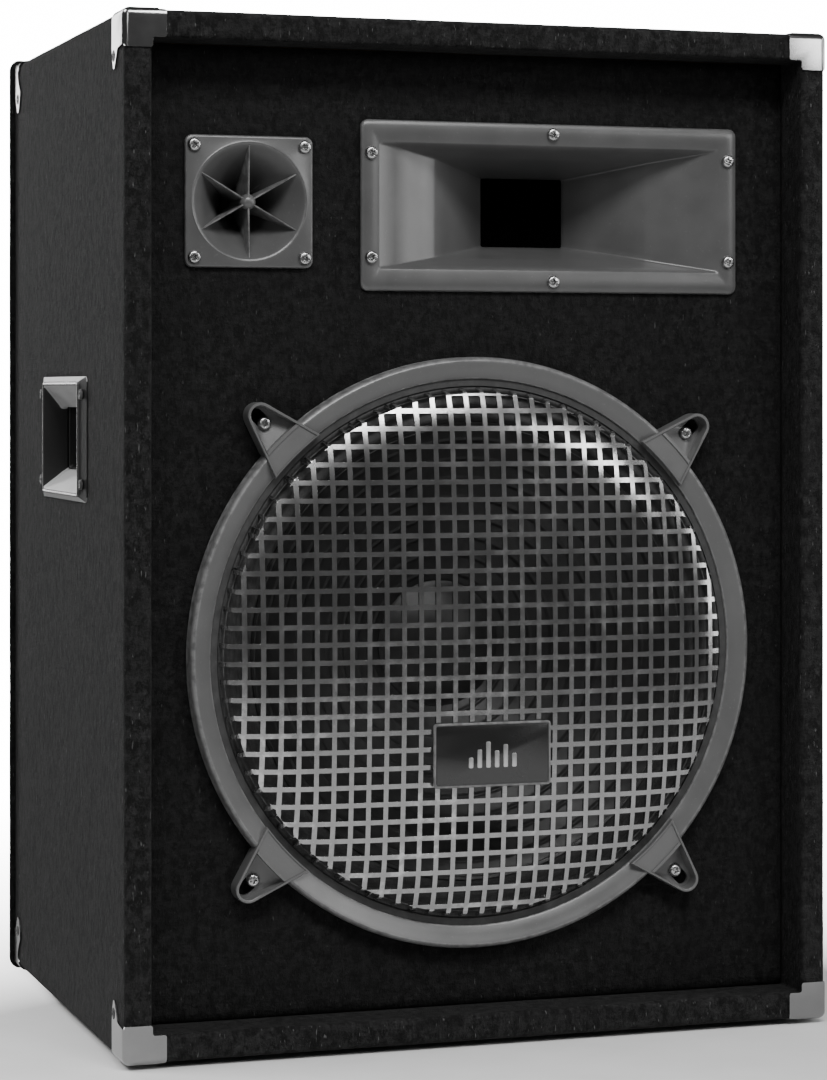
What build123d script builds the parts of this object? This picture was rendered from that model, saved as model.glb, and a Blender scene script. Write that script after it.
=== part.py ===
"""Carpet-covered floor loudspeaker cabinet: 15 inch woofer, mid horn and piezo tweeter.

Frame: millimetres, X to the right, -Y out of the front, +Z up.
The origin is on the floor, below the middle of the cabinet.
"""
import os
from math import cos, radians, sin, tan

from build123d import *

os.makedirs("parts", exist_ok=True)

# Cabinet, over its carpet
WIDTH = 485.0
DEPTH = 375.0
HEIGHT = 670.0
FOOT_HEIGHT = 4.0
EDGE_ROUND = 4.0

# Boards and covering
BOARD = 12.0
BAFFLE_BOARD = 15.0
CARPET = 3.0
RECESS = 32.0
CLEAT = 15.0

# Corner protectors
CAP_PROUD = 1.4
CAP_DEPTH = 6.0

# Woofer and its grille
WOOFER = (0.0, 256.0)
RING_RADIUS = 195.0
RING_WIDTH = 14.5
RING_HEIGHT = 12.0
BASKET_RADIUS = 191.5
WOOFER_CUT = 176.0
CONE_RADIUS = 152.0
NECK_RADIUS = 33.8
CAP_RADIUS = 43.0
MESH_PITCH = 11.6
MESH_BAR = 3.2
MESH_DEPTH = 3.5
DOME_HEIGHT = 22.5
CLAMP_COUNT = 4
CLAMP_START = 43.5
CLAMP_SCREW_RADIUS = 209.0
CLAMP_TIP_RADIUS = 225.0

# Badge on the grille
BADGE_SIZE = (81.0, 42.0)
BADGE_AT = (3.0, 191.0)

# Mid horn
HORN = (55.8, 550.4)
HORN_FLANGE = (267.5, 112.5)
HORN_FLANGE_THICK = 4.0
HORN_MOUTH = (240.0, 82.0)
HORN_CREASE = (152.0, 66.6)
HORN_THROAT = (59.0, 47.0)
CREASE_DEPTH = 22.4
THROAT_DEPTH = 61.0
HORN_WALL = 3.0

# Tweeter
TWEETER = (-153.5, 551.0)
TWEETER_FLANGE = 85.5
TWEETER_FLANGE_THICK = 3.5
TWEETER_MOUTH = 37.3
TWEETER_THROAT = 9.0
TWEETER_DEPTH = 41.0
FIN_COUNT = 6
FIN_THICK = 1.5
BULLET_RADIUS = 5.3

# Side handles, centred at (y, z)
HANDLE = (-3.2, 396.2)
HANDLE_FLANGE = (146.0, 84.0)
HANDLE_MOUTH = (114.0, 72.0)
HANDLE_PROUD = 4.0
HANDLE_DEPTH = 48.0
HANDLE_WALL = 2.5

# Terminal dish in the back, centred at (x, z)
DISH = (0.0, 330.0)
DISH_FLANGE = (134.0, 104.0)
DISH_MOUTH = (110.0, 80.0)
DISH_DEPTH = 32.0
DISH_WALL = 2.5
JACK_SPACING = 44.0
JACK_BORE = 3.25
POST_SPACING = 38.0

# Stand socket for a 35 mm pole, and feet
POLE_Y = 20.0
POLE_BORE = 17.9
POLE_WALL = 2.6
POLE_DEPTH = 86.0
POLE_FLANGE_RADIUS = 45.0
POLE_FLANGE_THICK = 2.0
FOOT_RADIUS = 15.0
FOOT_AT = (182.5, 132.5)

# Places that follow from the sizes above
FRONT = -DEPTH / 2
BACK = DEPTH / 2
SIDE = WIDTH / 2
WOOD_SIDE = SIDE - CARPET
WOOD_BACK = BACK - CARPET
WOOD_BOTTOM = FOOT_HEIGHT + CARPET
WOOD_TOP = HEIGHT - CARPET
WOOD_HEIGHT = WOOD_TOP - WOOD_BOTTOM
INSIDE_SIDE = WOOD_SIDE - BOARD
INSIDE_BOTTOM = WOOD_BOTTOM + BOARD
INSIDE_TOP = WOOD_TOP - BOARD
INSIDE_HEIGHT = INSIDE_TOP - INSIDE_BOTTOM
MIDDLE = (HEIGHT + FOOT_HEIGHT) / 2
BAFFLE_FACE = FRONT + RECESS
BAFFLE_FRONT = BAFFLE_FACE + CARPET
BAFFLE_REAR = BAFFLE_FRONT + BAFFLE_BOARD
BACK_INNER = WOOD_BACK - BOARD
WOOFER_AXIS = Axis((WOOFER[0], 0, WOOFER[1]), (0, 1, 0))
MIDDLE_PLANE = Plane.XY.offset(MIDDLE)

pieces = {}
holes = {}


def facing(y):
    """Plane across the cabinet at depth y, looking out of the front: local x is X, local y is Z."""
    return Plane.XZ.offset(-y)


def radial(centre):
    """Plane through a front-to-back axis at (x, z): local x is the radius, local y is Y."""
    return Plane(origin=(centre[0], 0, centre[1]), x_dir=(1, 0, 0), z_dir=(0, 0, 1))


def profile(plane, *points):
    """Closed straight-sided outline on a plane."""
    with BuildSketch(plane) as outline:
        with BuildLine():
            Polyline(*points, close=True)
        make_face()
    return outline.sketch


def board(x_size, y_size, z_size, at):
    """Plain rectangular board centred at a point."""
    with BuildPart() as plank:
        with Locations(at):
            Box(x_size, y_size, z_size)
    return plank.part


def screw(head_radius, head_height, shank_radius, length, sunk=False, recess=True):
    """Screw along Z with its head's seat at the origin, its head above and a cross recess."""
    with BuildPart() as fastener:
        if sunk:
            Cone(shank_radius, head_radius, head_height, align=(Align.CENTER, Align.CENTER, Align.MAX))
        else:
            Cylinder(head_radius, head_height, align=(Align.CENTER, Align.CENTER, Align.MIN))
            fillet(fastener.edges().group_by(Axis.Z)[-1], head_height * 0.6)
        Cylinder(shank_radius, length, align=(Align.CENTER, Align.CENTER, Align.MAX))
        if recess:
            with BuildSketch(Plane.XY.offset(0 if sunk else head_height)):
                Rectangle(head_radius * 1.2, head_radius * 0.28)
                Rectangle(head_radius * 0.28, head_radius * 1.2)
            extrude(amount=-head_height * 0.45, mode=Mode.SUBTRACT)
    return fastener.part


def place_screws(name, planes, **sizes):
    """Screws of one size, one on each plane with its head on the normal side, and the holes they fill."""
    for store, recess in ((pieces, True), (holes, False)):
        with BuildPart() as group:
            with Locations(*[plane.location for plane in planes]):
                add(screw(**sizes, recess=recess))
        store[name] = group.part


def on_front(points, y):
    return [Plane(origin=(x, y, z), x_dir=(1, 0, 0), z_dir=(0, -1, 0)) for x, z in points]


def on_back(points, y):
    return [Plane(origin=(x, y, z), x_dir=(-1, 0, 0), z_dir=(0, 1, 0)) for x, z in points]


def on_side(points, x):
    return [Plane(origin=(x, y, z), x_dir=(0, 1, 0), z_dir=(x / abs(x), 0, 0)) for y, z in points]


def on_floor_side(points, z, up=-1):
    return [Plane(origin=(x, y, z), x_dir=(1, 0, 0), z_dir=(0, 0, up)) for x, y in points]


def four(x, y):
    """The corners of a centred rectangle."""
    return [(i * x, j * y) for i in (-1, 1) for j in (-1, 1)]


def shifted(points, centre):
    return [(x + centre[0], y + centre[1]) for x, y in points]


# ------------------------------------------------------------------ screws
LARGE_SCREW = {"head_radius": 4.4, "head_height": 2.8, "shank_radius": 2.1, "length": 21.0}
SMALL_SCREW = {"head_radius": 3.4, "head_height": 1.6, "shank_radius": 1.5, "length": 14.0, "sunk": True}
BACK_SCREW = {"head_radius": 4.0, "head_height": 2.0, "shank_radius": 1.9, "length": 24.0, "sunk": True}

clamp_angles = [CLAMP_START + 360 / CLAMP_COUNT * i for i in range(CLAMP_COUNT)]
clamp_points = [
    (WOOFER[0] + CLAMP_SCREW_RADIUS * cos(radians(a)), WOOFER[1] + CLAMP_SCREW_RADIUS * sin(radians(a)))
    for a in clamp_angles
]
CLAMP_FLOOR = 4.0
horn_points = shifted(four(127.0, 34.2) + [(0, 49.2), (0, -49.2)], HORN)
tweeter_points = shifted(four(37.0, 36.2), TWEETER)
baffle_planes = (
    on_front(clamp_points, BAFFLE_FACE - CLAMP_FLOOR)
    + on_front(horn_points, BAFFLE_FACE - HORN_FLANGE_THICK)
    + on_front(tweeter_points, BAFFLE_FACE - TWEETER_FLANGE_THICK)
)
place_screws("baffle_screws", baffle_planes, **LARGE_SCREW)

FRONT_HOLE = (27.5, 28.0)
REAR_HOLE = (26.0, 27.0)
corner_planes = []
for side in (-1, 1):
    for end in (-1, 1):
        z_edge = MIDDLE + end * (HEIGHT - FOOT_HEIGHT) / 2
        face_z = z_edge + end * CAP_PROUD
        front_tab = (FRONT + FRONT_HOLE[0], z_edge - end * FRONT_HOLE[1])
        rear_tab = (BACK - REAR_HOLE[0], z_edge - end * REAR_HOLE[1])
        corner_planes += on_side([front_tab, rear_tab], side * (SIDE + CAP_PROUD))
        front_top = (side * (SIDE - FRONT_HOLE[1]), FRONT + FRONT_HOLE[0])
        rear_top = (side * (SIDE - REAR_HOLE[1]), BACK - REAR_HOLE[0])
        corner_planes += on_floor_side([front_top, rear_top], face_z, up=end)
        corner_planes += on_back([(side * (SIDE - REAR_HOLE[0]), rear_tab[1])], BACK + CAP_PROUD)
place_screws("corner_screws", corner_planes, **SMALL_SCREW)

handle_screw_points = shifted(four(65.5, 30.0), HANDLE)
handle_planes = []
for side in (-1, 1):
    handle_planes += on_side(handle_screw_points, side * (SIDE + HANDLE_PROUD))
place_screws("handle_screws", handle_planes, **SMALL_SCREW)

BACK_SCREW_INSET = CARPET + BOARD + CLEAT / 2
back_x = SIDE - BACK_SCREW_INSET
back_z = (HEIGHT - FOOT_HEIGHT) / 2 - BACK_SCREW_INSET
BACK_SCREW_CORNER = 45.0
BACK_SCREW_ROW = 90.0
back_points = four(back_x, back_z - BACK_SCREW_CORNER) + four(back_x, 0)[::2] + four(back_x - BACK_SCREW_ROW, back_z)
back_points = shifted(back_points, (0, MIDDLE))
back_planes = on_back(back_points, BACK - 0.6)
back_planes += on_back(shifted(four(61.0, 46.0), DISH), BACK + CAP_PROUD)
place_screws("back_screws", back_planes, **BACK_SCREW)

FOOT_RECESS = 1.6
foot_points = four(*FOOT_AT)
place_screws("foot_screws", on_floor_side(foot_points, FOOT_RECESS), **SMALL_SCREW)

pole_points = shifted([(33.0 * i, 33.0 * j) for i, j in ((0, 1), (1, 0), (0, -1), (-1, 0))], (0, POLE_Y))
pole_seat = FOOT_HEIGHT - POLE_FLANGE_THICK
place_screws("pole_socket_screws", on_floor_side(pole_points, pole_seat), **SMALL_SCREW)

# ------------------------------------------------------------- side handle
HANDLE_FACE = SIDE + HANDLE_PROUD
CUP_Y = HANDLE_MOUTH[0] + 2 * HANDLE_WALL
CUP_Z = HANDLE_MOUTH[1] + 2 * HANDLE_WALL
CUP_END = HANDLE_FACE - HANDLE_DEPTH
mouth_top = HANDLE[1] + HANDLE_MOUTH[1] / 2
mouth_low = HANDLE[1] - HANDLE_MOUTH[1] / 2
GRIP_LOW = mouth_top - 15.0
SCOOP_TOP = mouth_low + 15.0
with BuildPart() as handle_right:
    with BuildSketch(Plane.YZ.offset(SIDE)):
        with Locations(HANDLE):
            RectangleRounded(*HANDLE_FLANGE, 5.0)
    extrude(amount=HANDLE_PROUD, taper=35)
    with BuildSketch(Plane.YZ.offset(SIDE)):
        with Locations(HANDLE):
            RectangleRounded(CUP_Y, CUP_Z, 4.0)
    extrude(amount=-(SIDE - CUP_END))
    with BuildSketch(Plane.YZ.offset(HANDLE_FACE)):
        with Locations(HANDLE):
            RectangleRounded(*HANDLE_MOUTH, 2.0)
    extrude(amount=-(HANDLE_DEPTH - HANDLE_WALL), mode=Mode.SUBTRACT)
    half = HANDLE_MOUTH[0] / 2
    grip = profile(
        Plane.XZ.offset(-HANDLE[0] - half),
        (HANDLE_FACE - 1, mouth_top),
        (HANDLE_FACE - 13, GRIP_LOW),
        (HANDLE_FACE - 17, GRIP_LOW),
        (HANDLE_FACE - 19, GRIP_LOW + 3),
        (HANDLE_FACE - 19, mouth_top),
    )
    extrude(grip, amount=2 * half)
    scoop = profile(
        Plane.XZ.offset(-HANDLE[0] - half),
        (HANDLE_FACE - 1, mouth_low),
        (HANDLE_FACE - 21, SCOOP_TOP),
        (HANDLE_FACE - 24, SCOOP_TOP),
        (HANDLE_FACE - 24, mouth_low),
    )
    extrude(scoop, amount=2 * half)
    add(holes["handle_screws"], mode=Mode.SUBTRACT)
pieces["handle_right"] = handle_right.part

with BuildPart() as handle_left:
    mirror(handle_right.part, about=Plane.YZ)
pieces["handle_left"] = handle_left.part

# ------------------------------------------------------------- stand socket
pole_top = pole_seat + POLE_DEPTH
with BuildPart() as pole_socket:
    with BuildSketch(Plane.XY.offset(pole_seat)):
        with Locations((0, POLE_Y)):
            Circle(POLE_FLANGE_RADIUS)
    extrude(amount=POLE_FLANGE_THICK)
    with BuildSketch(Plane.XY.offset(pole_seat)):
        with Locations((0, POLE_Y)):
            Circle(POLE_BORE + POLE_WALL)
    extrude(amount=POLE_DEPTH)
    with BuildSketch(Plane.XY.offset(pole_seat)):
        with Locations((0, POLE_Y)):
            Circle(POLE_BORE)
    extrude(amount=POLE_DEPTH - POLE_WALL, mode=Mode.SUBTRACT)
    add(holes["pole_socket_screws"], mode=Mode.SUBTRACT)
pieces["pole_socket"] = pole_socket.part

with BuildPart() as feet:
    with BuildSketch():
        with Locations(*foot_points):
            Circle(FOOT_RADIUS)
    extrude(amount=FOOT_HEIGHT)
    with BuildSketch():
        with Locations(*foot_points):
            Circle(5.0)
    extrude(amount=FOOT_RECESS, mode=Mode.SUBTRACT)
    add(holes["foot_screws"], mode=Mode.SUBTRACT)
pieces["feet"] = feet.part

# ------------------------------------------------------------------- boards
handle_cut = board(2 * WIDTH, CUP_Y, CUP_Z, (0, HANDLE[0], HANDLE[1]))

for name, side in (("panel_left", -1), ("panel_right", 1)):
    with BuildPart() as side_panel:
        add(board(BOARD, 2 * WOOD_BACK, INSIDE_HEIGHT, (side * (INSIDE_SIDE + BOARD / 2), 0, MIDDLE)))
        add(handle_cut, mode=Mode.SUBTRACT)
        add(holes["handle_screws"], mode=Mode.SUBTRACT)
        add(holes["corner_screws"], mode=Mode.SUBTRACT)
    pieces[name] = side_panel.part

with BuildPart() as panel_top:
    add(board(2 * WOOD_SIDE, 2 * WOOD_BACK, BOARD, (0, 0, INSIDE_TOP + BOARD / 2)))
    add(holes["corner_screws"], mode=Mode.SUBTRACT)
pieces["panel_top"] = panel_top.part

with BuildPart() as pole_hole:
    with Locations((0, POLE_Y, 0)):
        Cylinder(POLE_BORE + POLE_WALL, 2 * POLE_DEPTH)

with BuildPart() as panel_bottom:
    add(board(2 * WOOD_SIDE, 2 * WOOD_BACK, BOARD, (0, 0, INSIDE_BOTTOM - BOARD / 2)))
    add(pole_hole.part, mode=Mode.SUBTRACT)
    for group in ("corner_screws", "foot_screws", "pole_socket_screws"):
        add(holes[group], mode=Mode.SUBTRACT)
pieces["panel_bottom"] = panel_bottom.part

DISH_CUT = (DISH_MOUTH[0] + 2 * DISH_WALL, DISH_MOUTH[1] + 2 * DISH_WALL)
with BuildPart() as back_panel:
    with BuildSketch(facing(BACK_INNER)):
        with Locations((0, MIDDLE)):
            Rectangle(2 * INSIDE_SIDE, INSIDE_HEIGHT)
        with Locations(DISH):
            Rectangle(*DISH_CUT, mode=Mode.SUBTRACT)
    extrude(amount=-BOARD)
    for group in ("back_screws", "corner_screws"):
        add(holes[group], mode=Mode.SUBTRACT)
pieces["back_panel"] = back_panel.part

HORN_CUT = (234.0, 88.0)
TWEETER_CUT = 41.0


def baffle_sheet(thickness, front, inset):
    """Sheet across the baffle with the three driver holes."""
    with BuildPart() as sheet:
        with BuildSketch(facing(front)):
            with Locations((0, MIDDLE)):
                Rectangle(2 * (INSIDE_SIDE - inset), INSIDE_HEIGHT - 2 * inset)
            with Locations(WOOFER):
                Circle(WOOFER_CUT, mode=Mode.SUBTRACT)
            with Locations(HORN):
                Rectangle(*HORN_CUT, mode=Mode.SUBTRACT)
            with Locations(TWEETER):
                Circle(TWEETER_CUT, mode=Mode.SUBTRACT)
        extrude(amount=-thickness)
        add(holes["baffle_screws"], mode=Mode.SUBTRACT)
    return sheet.part


pieces["front_baffle"] = baffle_sheet(BAFFLE_BOARD, BAFFLE_FRONT, 0)
pieces["baffle_carpet"] = baffle_sheet(CARPET, BAFFLE_FACE, CARPET)


def cleat_frame(y):
    """Four separate strips round the inside of the box, centred at depth y."""
    with BuildPart() as frame:
        upright = INSIDE_HEIGHT
        cross = 2 * (INSIDE_SIDE - CLEAT)
        with Locations(*[(i * (INSIDE_SIDE - CLEAT / 2), y, MIDDLE) for i in (-1, 1)]):
            Box(CLEAT, CLEAT, upright)
        with Locations(*[(0, y, MIDDLE + i * (INSIDE_HEIGHT - CLEAT) / 2) for i in (-1, 1)]):
            Box(cross - 0.2, CLEAT, CLEAT)
        for group in ("back_screws", "corner_screws", "baffle_screws"):
            add(holes[group], mode=Mode.SUBTRACT)
    return frame.part


pieces["baffle_cleats"] = cleat_frame(BAFFLE_REAR + CLEAT / 2)
pieces["back_cleats"] = cleat_frame(BACK_INNER - CLEAT / 2)
pieces["cross_brace"] = board(2 * INSIDE_SIDE, 60.0, 15.0, (0, 40.0, 469.0))

# ------------------------------------------------------------------- carpet
with BuildPart() as carpet_wrap:
    with BuildSketch(Plane.XY.offset(FOOT_HEIGHT)):
        Rectangle(WIDTH, DEPTH)
    extrude(amount=HEIGHT - FOOT_HEIGHT)
    fillet(carpet_wrap.edges(), EDGE_ROUND)
    with Locations((0, 0, MIDDLE)):
        Box(2 * WOOD_SIDE, 2 * WOOD_BACK, WOOD_HEIGHT, mode=Mode.SUBTRACT)
    with BuildSketch(facing(FRONT + CARPET)):
        with Locations((0, MIDDLE)):
            Rectangle(2 * INSIDE_SIDE, INSIDE_HEIGHT)
    extrude(amount=-(RECESS))
    with BuildSketch(facing(FRONT)):
        with Locations((0, MIDDLE)):
            Rectangle(2 * (INSIDE_SIDE - CARPET), INSIDE_HEIGHT - 2 * CARPET)
    extrude(amount=-(RECESS + CARPET), mode=Mode.SUBTRACT)
    add(handle_cut, mode=Mode.SUBTRACT)
    add(pole_hole.part, mode=Mode.SUBTRACT)
    with BuildSketch(facing(BACK)):
        with Locations(DISH):
            Rectangle(*DISH_CUT)
    extrude(amount=2 * CARPET, both=True, mode=Mode.SUBTRACT)
    with BuildSketch(facing(BACK)):
        with Locations(*back_points):
            Circle(4.0)
    extrude(amount=CARPET, mode=Mode.SUBTRACT)
    for group in ("corner_screws", "handle_screws", "back_screws", "foot_screws", "pole_socket_screws"):
        add(holes[group], mode=Mode.SUBTRACT)
pieces["carpet_wrap"] = carpet_wrap.part

# ------------------------------------------------------- corner protectors
CORNER_BLOCK = 60.0
LIP = CARPET + BOARD + CARPET
FRONT_TAB = [(0, 0), (32.5, 0), (33, 22), (31, 31), (28.5, 36.5), (25.5, 36.5), (22.5, 32), (17, 24), (0, 22)]
FRONT_ANGLE = [(0, 0), (27, 0), (27, LIP), (LIP, LIP), (LIP, 24.5), (0, 24.5)]
REAR_TAB = [(0, 0), (36, 0), (30, 3), (24, 8), (27, 14), (34, 22)]
REAR_TAB += [(33, 27), (28, 37), (24, 37), (17, 27), (0, 27)]


def rounded_corner(outset):
    """Cabinet corner block, its low corner at the origin less an outset, its three outer edges rounded."""
    with BuildPart() as block:
        with Locations((-outset, -outset, -outset)):
            Box(CORNER_BLOCK, CORNER_BLOCK, CORNER_BLOCK, align=(Align.MIN, Align.MIN, Align.MIN))
        low = -outset + 0.1
        outer = [
            e for e in block.edges()
            if sum(1 for value in e.center() if value < low) == 2
        ]
        fillet(outer, EDGE_ROUND + outset)
    return block.part


def corner_cap(side_outline, face_outline, end_outline):
    """Thin cap over a rounded corner: X runs in from the side, Y from the face and Z from the end."""
    with BuildPart() as mask:
        extrude(profile(Plane.YZ.offset(-CAP_PROUD), *side_outline), amount=CAP_DEPTH)
        extrude(profile(Plane.XZ.offset(CAP_PROUD), *face_outline), amount=-CAP_DEPTH)
        extrude(profile(Plane.XY.offset(-CAP_PROUD), *end_outline), amount=CAP_DEPTH)
        with Locations((-CAP_PROUD, -CAP_PROUD, -CAP_PROUD)):
            Box(22, 22, 22, align=(Align.MIN, Align.MIN, Align.MIN))
    with BuildPart() as cap:
        add(rounded_corner(CAP_PROUD))
        add(rounded_corner(0), mode=Mode.SUBTRACT)
        add(mask.part, mode=Mode.INTERSECT)
    return cap.part


front_cap = corner_cap(FRONT_TAB, FRONT_ANGLE, [(b, a) for a, b in FRONT_TAB])
rear_cap = corner_cap(REAR_TAB, REAR_TAB, REAR_TAB)
for face, cap in (("front", front_cap), ("rear", rear_cap)):
    for end in ("bottom", "top"):
        for side in ("left", "right"):
            corner = cap.moved(Location((-SIDE, FRONT, FOOT_HEIGHT)))
            if face == "rear":
                corner = mirror(corner, about=Plane.XZ)
            if end == "top":
                corner = mirror(corner, about=MIDDLE_PLANE)
            if side == "right":
                corner = mirror(corner, about=Plane.YZ)
            with BuildPart() as corner_protector:
                add(corner)
                add(holes["corner_screws"], mode=Mode.SUBTRACT)
            pieces[f"corner_{face}_{end}_{side}"] = corner_protector.part

# ------------------------------------------------------------------- woofer
FLANGE_THICK = 4.0
FLANGE_FACE = BAFFLE_FACE - FLANGE_THICK
GASKET = 2.0
MESH_SEAT = FLANGE_FACE - GASKET
RIM_THICK = 2.0
CONE_EDGE = BAFFLE_FACE - 0.5
CONE_NECK = CONE_EDGE + 78.0
CONE_THICK = 1.7
SPIDER_FACE = CONE_NECK + 6.0
SPIDER_THICK = 1.0
CUP_RADIUS = 96.0
PLATE_FACE = SPIDER_FACE + 32.0
PLATE_THICK = 8.0
MAGNET_THICK = 20.0
MAGNET_RADIUS = 80.0
PLATE_RADIUS = 75.0
PLATE_HOLE = 36.0
POLE_RADIUS = 31.5
FORMER_THICK = 0.6
COIL_THICK = 1.3
COIL_LENGTH = 16.0


def cone_front(radius):
    """Depth of the cone's front surface at a radius."""
    return CONE_NECK - (radius - NECK_RADIUS) * (CONE_NECK - CONE_EDGE) / (CONE_RADIUS - NECK_RADIUS)


def turned(*points):
    """Solid turned about the woofer's axis from (radius, depth) points."""
    with BuildPart() as solid:
        revolve(profile(radial(WOOFER), *points), axis=WOOFER_AXIS)
    return solid.part


def sphere_drop(radius, edge_radius, rise):
    """How far a spherical cap of this edge radius and rise has dropped at a radius."""
    ball = (edge_radius ** 2 + rise ** 2) / (2 * rise)
    return ball - (ball ** 2 - radius ** 2) ** 0.5


def tube(inner, outer, start, end):
    return turned((inner, start), (outer, start), (outer, end), (inner, end))


spoke_start = BAFFLE_FACE + 10.0
with BuildPart() as woofer_basket:
    add(tube(171.0, BASKET_RADIUS, FLANGE_FACE, BAFFLE_FACE))
    add(tube(171.0, WOOFER_CUT - 1.0, BAFFLE_FACE, spoke_start))
    add(tube(84.0, CUP_RADIUS, SPIDER_FACE, SPIDER_FACE + 6.0))
    add(tube(CUP_RADIUS - 3.0, CUP_RADIUS, SPIDER_FACE + 6.0, PLATE_FACE))
    add(tube(38.0, CUP_RADIUS, PLATE_FACE - 4.0, PLATE_FACE))
    spoke = [(171.0, spoke_start - 4.0), (175.0, spoke_start - 4.0), (175.0, spoke_start + 6.0)]
    spoke += [(CUP_RADIUS - 1, PLATE_FACE - 10.0), (CUP_RADIUS - 1, SPIDER_FACE)]
    for i in range(8):
        turn = Location((WOOFER[0], 0, WOOFER[1]), (0, 1, 0), 22.5 + 45.0 * i)
        with BuildSketch(Plane(turn * radial((0, 0)).location)):
            with BuildLine():
                Polyline(*spoke, close=True)
            make_face()
        extrude(amount=9.0, both=True)
pieces["woofer_basket"] = woofer_basket.part
pieces["woofer_gasket"] = tube(176.0, BASKET_RADIUS, MESH_SEAT, FLANGE_FACE)

SURROUND_THICK = 0.8
roll = [(175.8, FLANGE_FACE), (170.0, FLANGE_FACE), (166.5, FLANGE_FACE - 3), (163.0, FLANGE_FACE + 0.5)]
roll += [(159.5, FLANGE_FACE - 3), (156.0, CONE_EDGE - 2.0), (CONE_RADIUS, CONE_EDGE)]
roll += [(CONE_RADIUS - 4, cone_front(CONE_RADIUS - 4))]
surround_front = [(r, y - SURROUND_THICK) for r, y in reversed(roll)]
pieces["woofer_surround"] = turned(*roll, *surround_front)

pieces["woofer_cone"] = turned(
    (NECK_RADIUS, cone_front(NECK_RADIUS)),
    (CONE_RADIUS, cone_front(CONE_RADIUS)),
    (CONE_RADIUS, cone_front(CONE_RADIUS) + CONE_THICK),
    (NECK_RADIUS, cone_front(NECK_RADIUS) + CONE_THICK),
)

CAP_RISE = 15.0
CAP_THICK = 1.0


def cap_arc(radius, top):
    """Spherical arc in the woofer's profile from its axis to a radius on the cone."""
    rise = cone_front(radius) - top
    middle = (radius / 2, top + sphere_drop(radius / 2, radius, rise))
    return ThreePointArc((0, top), middle, (radius, cone_front(radius)))


cap_top = cone_front(CAP_RADIUS) - CAP_RISE
with BuildPart() as dust_cap:
    with BuildSketch(radial(WOOFER)):
        with BuildLine():
            outer_arc = cap_arc(CAP_RADIUS, cap_top)
            inner_arc = cap_arc(CAP_RADIUS - CAP_THICK, cap_top + CAP_THICK)
            Line(outer_arc @ 1, inner_arc @ 1)
            Line(inner_arc @ 0, outer_arc @ 0)
        make_face()
    revolve(axis=WOOFER_AXIS)
pieces["dust_cap"] = dust_cap.part

former_inner = NECK_RADIUS - FORMER_THICK
coil_start = PLATE_FACE + PLATE_THICK / 2 - COIL_LENGTH / 2
pieces["coil_former"] = tube(former_inner, NECK_RADIUS, CONE_NECK - 3.0, coil_start + COIL_LENGTH + 1)
pieces["voice_coil"] = tube(NECK_RADIUS, NECK_RADIUS + COIL_THICK, coil_start, coil_start + COIL_LENGTH)
pieces["spider"] = tube(NECK_RADIUS, 90.0, SPIDER_FACE - SPIDER_THICK, SPIDER_FACE)

plate_back = PLATE_FACE + PLATE_THICK
magnet_back = plate_back + MAGNET_THICK
pieces["top_plate"] = tube(PLATE_HOLE, PLATE_RADIUS, PLATE_FACE, plate_back)
pieces["magnet"] = tube(46.0, MAGNET_RADIUS, plate_back, magnet_back)
VENT_RADIUS = 9.0
pieces["yoke"] = turned(
    (VENT_RADIUS, PLATE_FACE - 1),
    (POLE_RADIUS, PLATE_FACE - 1),
    (POLE_RADIUS, magnet_back),
    (PLATE_RADIUS, magnet_back),
    (PLATE_RADIUS, magnet_back + PLATE_THICK),
    (VENT_RADIUS, magnet_back + PLATE_THICK),
)

with BuildPart() as woofer_terminals:
    tag_z = WOOFER[1] + CUP_RADIUS
    tag_y = SPIDER_FACE + 14.0
    with Locations((0, tag_y, tag_z + 1.0)):
        Box(30, 14, 5)
    for x in (-8.0, 8.0):
        with Locations((x, tag_y, tag_z + 7.5)):
            Box(6.3, 0.8, 8)
    add(pieces["woofer_basket"], mode=Mode.SUBTRACT)
pieces["woofer_terminals"] = woofer_terminals.part

# ------------------------------------------------------------------- grille
ring_front = BAFFLE_FACE - RING_HEIGHT
ring_inner = RING_RADIUS - RING_WIDTH
rim_face = MESH_SEAT - RIM_THICK
pieces["grille_ring"] = turned(
    (BASKET_RADIUS + 0.5, BAFFLE_FACE),
    (RING_RADIUS, BAFFLE_FACE),
    (RING_RADIUS, ring_front + 3.5),
    (RING_RADIUS - 1.0, ring_front + 1.0),
    (RING_RADIUS - 3.5, ring_front),
    (RING_RADIUS - 8.0, ring_front + 0.4),
    (ring_inner, ring_front + 3.0),
    (ring_inner, rim_face),
    (BASKET_RADIUS + 0.5, rim_face),
)

DOME_EDGE = ring_inner - 1.5
CROWN_RADIUS = 140.0
CROWN_DROP = 6.5
SKIRT_BULGE = 1.6
dome_top = rim_face - DOME_HEIGHT


def dome_line(edge_radius, top, seat):
    """Crown and skirt of the domed mesh in profile, from the axis out to its seat."""
    half = CROWN_RADIUS / 2
    crown_edge = (CROWN_RADIUS, top + CROWN_DROP)
    crown = ThreePointArc((0, top), (half, top + sphere_drop(half, CROWN_RADIUS, CROWN_DROP)), crown_edge)
    between = ((CROWN_RADIUS + edge_radius) / 2 + SKIRT_BULGE, (crown_edge[1] + seat) / 2 - SKIRT_BULGE)
    skirt = ThreePointArc(crown_edge, between, (edge_radius, seat))
    return crown, skirt


with BuildPart() as mesh_shell:
    with BuildSketch(radial(WOOFER)):
        with BuildLine():
            front_crown, front_skirt = dome_line(DOME_EDGE, dome_top, rim_face)
            back_crown, back_skirt = dome_line(174.0, dome_top + MESH_DEPTH, MESH_SEAT)
            rim = (front_skirt @ 1, (BASKET_RADIUS, rim_face), (BASKET_RADIUS, MESH_SEAT), back_skirt @ 1)
            Polyline(*rim)
            Line(back_crown @ 0, front_crown @ 0)
        make_face()
    revolve(axis=WOOFER_AXIS)

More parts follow.
